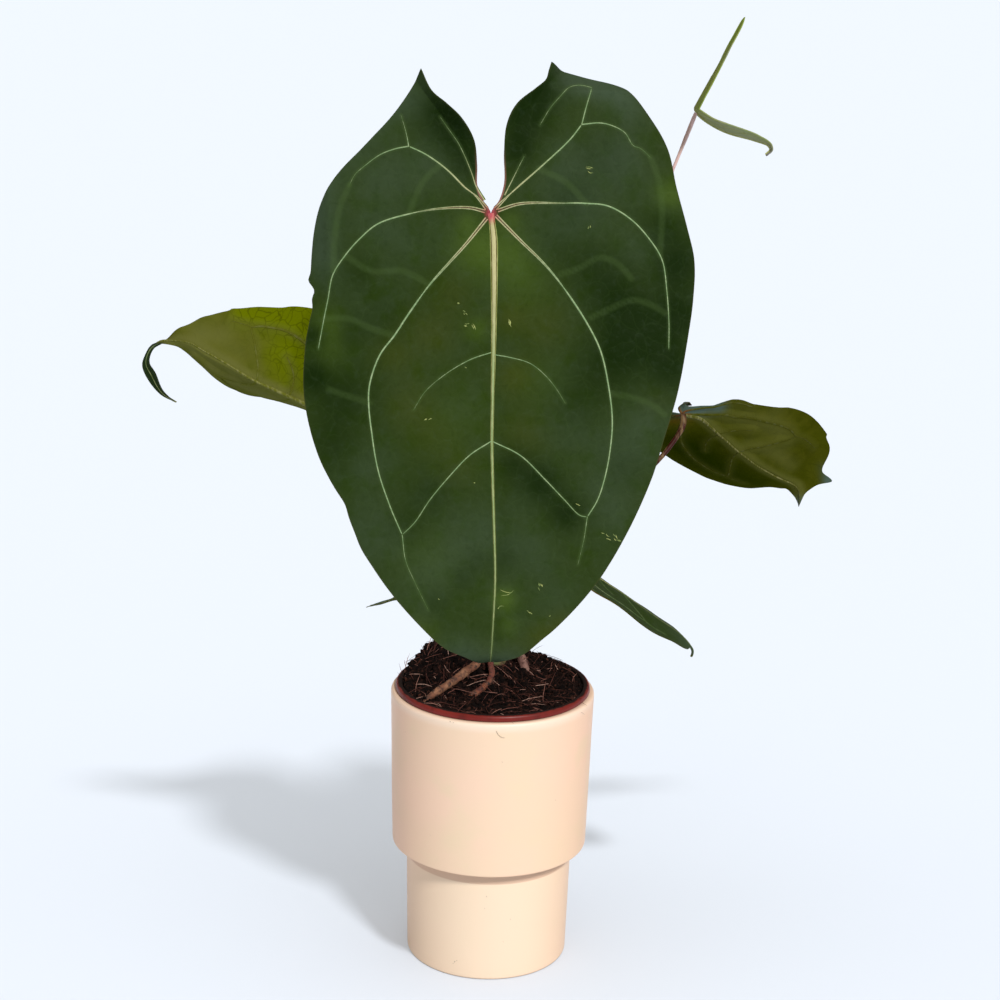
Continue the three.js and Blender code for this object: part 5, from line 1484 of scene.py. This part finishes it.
UNDER_VEINS = {"green": (84, 98, 48), "lime": (90, 94, 26), "olive": (68, 70, 16), "young": (152, 156, 92)}
velvets = {
    "green": velvet_skin(
        "green velvet", main=(41, 57, 19), second=(44, 60, 28), third=(38, 56, 10), light=(70, 92, 28),
        dark=(15, 33, 0), grey=(64, 80, 62), olive=(60, 68, 14), pale=(82, 106, 58), through_share=0.12,
    ),
    "young": velvet_skin(
        "young velvet", main=(128, 152, 62), second=(146, 150, 84), third=(110, 142, 50),
        light=(166, 188, 80), dark=(80, 100, 36), grey=(156, 150, 156), olive=(140, 120, 60),
        pale=(172, 186, 108), through_share=0.2,
    ),
}
undersides = {
    "green": under_skin(
        "green underside", main=(64, 78, 34), second=(72, 86, 40), third=(54, 70, 28), light=(84, 100, 38),
        dark=(46, 62, 22), vein=UNDER_VEINS["green"], rib=(96, 108, 60), slate=(58, 72, 62),
        through_colour=(110, 130, 30), through_share=0.2,
    ),
    "lime": under_skin(
        "lime underside", main=(92, 96, 26), second=(98, 102, 34), third=(84, 90, 20), light=(106, 118, 0),
        dark=(60, 66, 4), vein=UNDER_VEINS["lime"], rib=(112, 114, 60), slate=(38, 48, 42),
        through_colour=(150, 160, 10), through_share=0.3,
    ),
    "olive": under_skin(
        "olive underside", main=(66, 70, 8), second=(72, 74, 14), third=(60, 64, 6), light=(84, 88, 12),
        dark=(34, 46, 0), vein=UNDER_VEINS["olive"], rib=(96, 98, 46), slate=(82, 100, 90),
        through_colour=(100, 104, 4), through_share=0.22,
    ),
    "young": under_skin(
        "young underside", main=(146, 164, 80), second=(154, 164, 94), third=(130, 150, 64),
        light=(160, 178, 80), dark=(104, 126, 44), vein=UNDER_VEINS["young"], rib=(160, 160, 100),
        slate=(156, 150, 156), through_colour=(150, 160, 50), through_share=0.25,
    ),
}
# Each blade's velvet and underside
BLADE_SKINS = {
    "front": ("green", "green"), "left": ("green", "lime"), "right": ("green", "olive"),
    "top": ("young", "young"), "low_right": ("green", "olive"), "low_left": ("green", "olive"),
}
for label, leaf in LEAVES.items():
    over, under = BLADE_SKINS[label]
    blade = build_blade(label, leaf, velvets[over], undersides[under])
    settle(blade, "leaf_blade", None, "blade_" + label)


# Veins
# Pale raised veins run through each blade and stand out on both faces. The midrib is a broad band with a
# groove on either side. From the joint the main side veins start as close pairs with a brown groove between.
# Both grooves are drawn dark brown, for their brown and as painted groove shade.
vein_tree, given, out = growing_tree("raised line", [
    ("Sides", "Int", 8), ("Height share", "Float", 0.8), ("Material", "Material", None),
])
core = put(vein_tree, "GeometryNodeMeshToCurve", {"Mesh": given["Geometry"]}).outputs[0]
facing = carried(vein_tree, "facing", "FLOAT_VECTOR")
turned_core = put(vein_tree, "GeometryNodeSetCurveNormal", {"Curve": core, "Normal": facing}, mode="FREE")
squeeze = put(vein_tree, "ShaderNodeCombineXYZ", {"X": given["Height share"], "Y": 1.0, "Z": 1.0})
flattened = put(vein_tree, "GeometryNodeTransform", {
    "Geometry": circle(vein_tree, given["Sides"], 1.0), "Scale": squeeze.outputs[0],
})
strand = swept(vein_tree, turned_core.outputs[0], flattened.outputs[0], carried(vein_tree, "half_width"))
smooth = put(vein_tree, "GeometryNodeSetShadeSmooth", {"Geometry": strand})
end_tree(vein_tree, smooth.outputs[0], given, out)


def on_blade(leaf, flat, lift=0.0):
    """Points and facing directions on the blade's finished surface, raised by lift."""
    across, along = flat[:, 0], flat[:, 1]
    to_vein = nearest(flat, [*leaf["veins"], leaf["midrib"]])
    facing = lay_normals(leaf, across, along)
    rise = relief(leaf, across, along, to_vein) + lift
    return lay_points(leaf, across, along)[0] + facing * rise[:, None], facing


def vein_line(leaf, flat, widths, lift):
    points, facing = on_blade(leaf, flat, lift)
    return {"points": points, "half_width": widths, "facing": facing, "from_joint": np.hypot(*flat.T),
            "half_width_mm": widths}


def sideways(flat, distance):
    """The same line, moved across its own direction."""
    way = np.gradient(flat, axis=0)
    way /= length_of(way)
    return flat + np.stack([-way[:, 1], way[:, 0]], axis=1) * distance[:, None]


JOINT_PINK = (178, 58, 84)


def vein_skin(name, near, onward, thin, pink_share, mealiness=1.0, shine=0.1):
    """Pale mealy vein, pink at the joint, that fades to the blade's green where it is thin."""
    material, tree, skin = new_finish(name, 0.65, Specular_IOR_Level=shine)
    far = stored(tree, "from_joint")
    colour = layered(
        tree, near,
        (ranged(tree, far, 12.0, 60.0), onward),
        (ranged(tree, stored(tree, "half_width_mm"), 0.42, 0.14), thin),
        (ranged(tree, far, 8.0, 1.5, 0.0, pink_share), JOINT_PINK),
    )
    mealy = patched(tree, object_place(tree), 300.0, colour,
                    blended(tree, 0.2 * mealiness, colour, (204, 212, 172)),
                    blended(tree, 0.3 * mealiness, colour, (96, 108, 60)))
    coloured(tree, skin, mealy["Colour"])
    bumped(tree, skin, mealy["Spread"], 0.25, 0.0002)
    return material


upper_vein = vein_skin("vein", (160, 158, 116), (120, 146, 104), (68, 92, 50), 0.85)
under_veins = {
    label: vein_skin("vein beneath, " + label, colour, [part * 0.9 for part in colour],
                     [part * 0.85 for part in colour], 0.2, 0.2, 0.0)
    for label, colour in UNDER_VEINS.items()
}


def corky_skin(name, scale, main, second, third):
    material, tree, skin = new_finish(name, 0.7)
    coloured(tree, skin, patched(tree, object_place(tree), scale, main, second, third)["Colour"])
    return material


# The strand in the groove between paired veins is dark brown: brown, and painted groove shade
groove_brown_and_shade_skin = corky_skin("vein groove", 220.0, (78, 54, 30), (66, 52, 28), (104, 60, 42))
PAIR_GAP = 0.75
PAIR_WIDTH = 0.62
VEIN_LIFT = BLADE_THICKNESS / 2 + 0.1
for label, leaf in LEAVES.items():
    size = min(1.0, 0.35 + 0.65 * leaf["reach"] / FRONT_REACH)
    strands = []
    under_strands = []
    grooves = []
    for (start_width, end_width, paired, _), flat in zip(VEINS, leaf["veins"]):
        share = np.linspace(0, 1, len(flat))
        widths = size * (start_width + (end_width - start_width) * share**0.8)
        widths[-1] *= 0.3
        run = np.concatenate([[0], np.cumsum(np.linalg.norm(np.diff(flat, axis=0), axis=1))])
        paired_run = paired * leaf["body"] / FRONT_LENGTH
        under_strands.append(vein_line(leaf, flat, widths * 2.6, lift=-BLADE_THICKNESS / 2))
        if paired and label == "front":
            apart = PAIR_GAP * np.clip(1 - run / paired_run, 0, 1) ** 0.7
            split = run < paired_run
            widths = widths * (PAIR_WIDTH + (1 - PAIR_WIDTH) * np.clip((run - paired_run) / 8, 0, 1))
            strands.append(vein_line(leaf, sideways(flat, apart), widths, lift=VEIN_LIFT))
            twin = sideways(flat[split], -apart[split])
            strands.append(vein_line(leaf, twin, widths[split], lift=VEIN_LIFT))
            grooves.append(vein_line(leaf, flat[split], np.full(split.sum(), 0.3), lift=BLADE_THICKNESS / 2))
        else:
            strands.append(vein_line(leaf, flat, widths, lift=VEIN_LIFT))
    veins = grown("veins_" + label, line_mesh("vein lines", strands), vein_tree, {
        "Sides": 8, "Height share": 0.5, "Material": upper_vein,
    })
    settle(veins, "leaf_blade", None)
    beneath = grown("under_veins_" + label, line_mesh("vein lines beneath", under_strands), vein_tree, {
        "Sides": 8, "Height share": 0.16, "Material": under_veins[BLADE_SKINS[label][1]],
    })
    settle(beneath, "leaf_blade", None)
    if grooves:
        dark_lines = grown("vein_grooves_" + label, line_mesh("groove lines", grooves), vein_tree, {
            "Sides": 8, "Height share": 0.9, "Material": groove_brown_and_shade_skin,
        })
        settle(dark_lines, "leaf_blade", None)

# Midrib: its section is given as shares of the half width across, and heights for a full-width rib
RIB_SECTION = [
    (-1, 0.28), (-0.88, 0.5), (-0.74, 0.36), (-0.62, 0.3), (-0.52, 0.58), (-0.3, 0.8), (0, 0.86),
    (0.3, 0.8), (0.52, 0.58), (0.62, 0.3), (0.74, 0.36), (0.88, 0.5), (1, 0.28), (0.95, -0.3), (0.7, -1.2),
    (0.35, -2.0), (0, -2.3), (-0.35, -2.0), (-0.7, -1.2), (-0.95, -0.3),
]
RIB_FULL_WIDTH = 2.4
RIB_WIDTHS = [(0, 1.7), (18, 2.4), (50, 1.9), (80, 1.45), (110, 1.0), (140, 0.85), (217, 0.62), (260, 0.45),
              (284, 0.2)]

rib_skins = {}
for label, under_colour in UNDER_VEINS.items():
    rib_skin, tree, skin = new_finish("midrib, " + label, 0.65, Specular_IOR_Level=0.04)
    far = stored(tree, "from_joint")
    across_rib = worked(tree, "ABSOLUTE", stored(tree, "across_rib"), 0.0)
    centre_colour = blended(tree, ranged(tree, far, 25.0, 110.0), (174, 168, 124), (134, 154, 104))
    # The grooves beside the midrib are drawn brown olive: brown, and painted groove shade
    side_colour = blended(tree, ranged(tree, across_rib, 0.76, 0.84), (80, 74, 30), (134, 144, 80))
    colour = layered(
        tree, centre_colour,
        (ranged(tree, across_rib, 0.48, 0.6), side_colour),
        (ranged(tree, stored(tree, "rib_width"), 0.75, 0.2, 0.0, 0.8), (54, 70, 38)),
        (ranged(tree, far, 8.0, 1.5, 0.0, 0.9), JOINT_PINK),
        (stored(tree, "beneath"), under_colour),
    )
    fibred = put(tree, "ShaderNodeMapping", {"Vector": object_place(tree), "Scale": (1.0, 1.0, 0.1)})
    mealy = patched(tree, fibred.outputs[0], 700.0, colour, blended(tree, 0.15, colour, (214, 206, 160)),
                    blended(tree, 0.15, colour, (100, 92, 50)))
    coloured(tree, skin, mealy["Colour"])
    bumped(tree, skin, mealy["Spread"], 0.25, 0.0002)
    rib_skins[label] = rib_skin

for label, leaf in LEAVES.items():
    size = min(1.0, 0.3 + 0.7 * leaf["reach"] / FRONT_REACH)
    tip = np.array([[0.0, leaf["span"]]])
    end = leaf["midrib"][-1:]
    flat = leaf["midrib"]
    if leaf["span"] > leaf["body"] + 1:
        flat = np.vstack([flat[:-1], sampled(np.vstack([end, (end + tip) / 2, tip]))])
    points, facing = on_blade(leaf, flat)
    along = np.gradient(points, axis=0)
    along /= length_of(along)
    sides = np.cross(facing, along)
    widths = size * np.interp(flat[:, 1] * FRONT_LENGTH / leaf["span"], *zip(*RIB_WIDTHS))
    rib = bmesh.new()
    names = ("from_joint", "across_rib", "beneath", "rib_width")
    marks = [rib.verts.layers.float.new(name) for name in names]
    rings = []
    for point, out_way, side_way, width, far in zip(points, facing, sides, widths, np.hypot(*flat.T)):
        ring = []
        for share, high in RIB_SECTION:
            rise = high * max(width / RIB_FULL_WIDTH, 0.35) + math.copysign(BLADE_THICKNESS / 2, high)
            corner = rib.verts.new((point + side_way * share * width + out_way * rise) * MM)
            for mark, value in zip(marks, (far, share, float(high < 0), width)):
                corner[mark] = value
            ring.append(corner)
        rings.append(ring)
    close_rings(rib, rings)
    rib.faces.new(list(reversed(rings[0])))
    rib.faces.new(rings[-1])
    bmesh.ops.recalc_face_normals(rib, faces=rib.faces)
    midrib = finished("midrib_" + label, rib, sharp=70)
    settle(midrib, "leaf_blade", rib_skins[BLADE_SKINS[label][1]])


# Marks on the front leaf
# Old scratches and insect marks, healed to pale corky strokes on the upper face. Each group is (across,
# along, spread, number of strokes, length of a stroke, slant in radians).
MARKS = [
    (-18, 52.6, 1.2, 2, 2.6, 0), (-14.5, 57.9, 1.4, 3, 2, 0.9), (-14, 65, 2, 4, 2.4, 0.2),
    (-9.4, 66.4, 1, 3, 3.4, 1.1), (-14.4, 90.3, 0.6, 1, 2, 0.2), (11.5, 64.2, 0.5, 4, 4.6, 1.5),
    (-37.4, 119.6, 2.6, 3, 2.4, -0.4), (-8.8, 159, 0.4, 2, 1.2, 0.5), (9.5, 223.2, 1.6, 2, 9, -0.1),
    (7, 233.6, 0.8, 2, 5, -0.3), (30.6, 220.8, 1.6, 7, 2.2, 1.2), (23.5, 235.2, 1.5, 3, 2, 0.6),
    (36.1, 238.1, 0.5, 1, 1.4, 0), (68.6, 190, 2.4, 3, 3.2, 0.4), (76, 191.2, 2, 5, 3, 0.8),
    (52.4, 171.9, 0.6, 2, 2, 0.3), (58, -25.6, 1.6, 3, 4.6, 0.3), (58.3, 7.8, 1.2, 4, 1.6, 1.2),
    (-30, 228, 0.5, 1, 1.2, 0.4),
]
SLANT_SPREAD = 0.35
STROKE_WIDTHS = np.array([0.06, 0.16, 0.24, 0.2, 0.24, 0.14, 0.05])
SCAR_LIFT = BLADE_THICKNESS / 2 + 0.01
draw = random.Random(7)
front = LEAVES["front"]
strokes = []
for across, along, spread, count, length, slant in MARKS:
    for _ in range(count):
        angle = slant + draw.uniform(-SLANT_SPREAD, SLANT_SPREAD)
        start = np.array([across + draw.uniform(-spread, spread), along + draw.uniform(-spread, spread)])
        step = np.array([math.cos(angle), math.sin(angle)]) * length * draw.uniform(0.5, 1.0)
        bow = np.array([-step[1], step[0]]) * draw.uniform(-0.25, 0.25)
        flat = evenly(np.array([start - step / 2, start + bow, start + step / 2]), 6)[0]
        strokes.append(vein_line(front, flat, STROKE_WIDTHS, lift=SCAR_LIFT))
scar_skin = corky_skin("healed scratch", 400.0, (112, 130, 66), (160, 166, 96), (84, 104, 48))
scars = grown("leaf_scars", line_mesh("scar lines", strokes), vein_tree, {
    "Sides": 6, "Height share": 0.6, "Material": scar_skin,
})
settle(scars, "leaf_blade", None)


# Dirt on the cream pot
# Crumbs of the mix and one coir hair, stuck to the glaze when the plant was potted. Each crumb is (turn from
# the front in degrees, height, width).
CRUMBS_ON_GLAZE = [
    (6.3, 150, 0.4), (-0.4, 57, 0.45), (-1.5, 49, 0.35), (16.5, 41, 0.4), (-22, 10, 0.6), (-20.6, 11, 0.4),
    (-23.2, 8.6, 0.35), (-23, 173.2, 0.5), (-21.2, 172.9, 0.4), (40, 120, 0.3), (-35, 96, 0.3),
    (12, 26, 0.3),
]
HAIR_HALF_WIDTH = 0.07
HAIR = [(2.6, 170), (3.4, 168.2), (4.4, 166.8), (5.8, 165.8), (7.2, 165.6)]


def on_glaze(turn, height, lift):
    """A place just off the cream pot's outside."""
    if height > STEP_HEIGHT:
        radius = np.interp(height, (STEP_HEIGHT, POT_HEIGHT), (STEP_RADIUS, POT_TOP_RADIUS)) + lift
    else:
        radius = np.interp(height, (0, STEP_HEIGHT), (FOOT_RADIUS, LOWER_TOP_RADIUS)) + lift
    angle = math.radians(turn)
    return Vector((radius * math.sin(angle), -radius * math.cos(angle), height))


dirt = bmesh.new()
for turn, height, width in CRUMBS_ON_GLAZE:
    made = bmesh.ops.create_icosphere(dirt, subdivisions=1, radius=width / 2 * MM)
    for corner in made["verts"]:
        corner.co *= 1 + 0.3 * noise.noise(corner.co * 3000)
    bmesh.ops.translate(dirt, verts=made["verts"], vec=on_glaze(turn, height, 0.1) * MM)
settle(finished("dirt_on_glaze", dirt), "potting_mix", crumb_peat)

hair_line = evenly(np.array([on_glaze(turn, height, 0.12) for turn, height in HAIR]), 16)[0]
hair_mesh = line_mesh("hair line", [{
    "points": hair_line, "half_width": np.full(len(hair_line), HAIR_HALF_WIDTH),
    "facing": np.array([[0.0, -1.0, 0.0]] * len(hair_line)),
}])
hair = grown("hair_on_glaze", hair_mesh, vein_tree, {"Sides": 6, "Height share": 1.0, "Material": coir})
settle(hair, "potting_mix", None)


# Table, daylight and camera
# A plain pale table that runs out of view, under soft key lights from the front right and an even pale sky.
# The camera stands where the photograph's did, turned by a degree and a half.
FLOOR_REACH = 40.0
floor_mesh = bpy.data.meshes.new("floor")
corners = [(x * FLOOR_REACH, y * FLOOR_REACH, 0) for x, y in ((-1, -1), (1, -1), (1, 1), (-1, 1))]
floor_mesh.from_pydata(corners, [], [(0, 1, 2, 3)])
floor = placed("floor", floor_mesh)
pale_table, tree, skin = new_finish("pale table", 0.9, Specular_IOR_Level=0.0, Emission_Strength=0.1)
skin.inputs["Base Color"].default_value = daylight(199, 207, 219)
skin.inputs["Emission Color"].default_value = daylight(241, 247, 255)
floor_mesh.materials.append(pale_table)

world = bpy.data.worlds.new("sky")
world.use_nodes = True
bpy.context.scene.world = world
sky = world.node_tree.nodes["Background"]
sky.inputs["Color"].default_value = daylight(252, 244, 232)
sky.inputs["Strength"].default_value = 0.45
# The camera sees the same sky as the table's own colour
seen_sky = put(world.node_tree, "ShaderNodeBackground", {"Color": daylight(242, 248, 255), "Strength": 1.0})
seen = put(world.node_tree, "ShaderNodeLightPath").outputs["Is Camera Ray"]
either = put(world.node_tree, "ShaderNodeMixShader", {0: seen, 1: sky.outputs[0], 2: seen_sky.outputs[0]})
world.node_tree.links.new(either.outputs[0], world.node_tree.nodes["World Output"].inputs["Surface"])


def sunlight(name, side, height, energy, softness, colour):
    """A sun, from so many degrees to the right of the viewer and above the table."""
    data = bpy.data.lights.new(name, "SUN")
    data.energy = energy
    data.angle = math.radians(softness)
    data.color = colour
    light = placed(name, data)
    side, height = math.radians(side), math.radians(height)
    level = math.cos(height)
    towards = Vector((math.sin(side) * level, -math.cos(side) * level, math.sin(height)))
    light.rotation_euler = towards.to_track_quat("Z", "Y").to_euler()
    return light


# The plant's own key light leaves the table out. For the table a higher one gives the short soft shadow, and
# a very broad one the darker edge round the foot.
for light, state in (
    (sunlight("plant key", 26, 41, 3.0, 9, (1.0, 0.98, 0.95)), "EXCLUDE"),
    (sunlight("table key", 26.6, 60.8, 1.66, 6, (1.0, 0.99, 0.98)), "INCLUDE"),
    (sunlight("table fill", 0, 90, 1.61, 90, (1.0, 1.0, 0.98)), "INCLUDE"),
):
    lit = bpy.data.collections.new("lit by " + light.name)
    lit.objects.link(floor)
    light.light_linking.receiver_collection = lit
    lit.collection_objects[0].light_linking.link_state = state
    if state == "EXCLUDE":
        # The large blade is thin enough not to put the leaves behind it in deep shade
        clear = bpy.data.collections.new("let through by " + light.name)
        clear.objects.link(bpy.data.objects["leaf_front"])
        light.light_linking.blocker_collection = clear
        clear.collection_objects[0].light_linking.link_state = "EXCLUDE"

CAMERA_PLACE = (1.53, -1213.9, 627.2)
CAMERA_DOWN = 15.32
CAMERA_ROLL = 1.5
camera_data = bpy.data.cameras.new("camera")
camera_data.sensor_width = 36
camera_data.lens = 74.79
camera_data.clip_end = 100
camera = placed("camera", camera_data)
camera.matrix_world = (
    Matrix.Translation(Vector(CAMERA_PLACE) * MM)
    @ Matrix.Rotation(math.radians(90 - CAMERA_DOWN), 4, "X")
    @ Matrix.Rotation(math.radians(CAMERA_ROLL), 4, "Z")
)
bpy.context.scene.camera = camera
bpy.context.scene.view_settings.view_transform = "Standard"
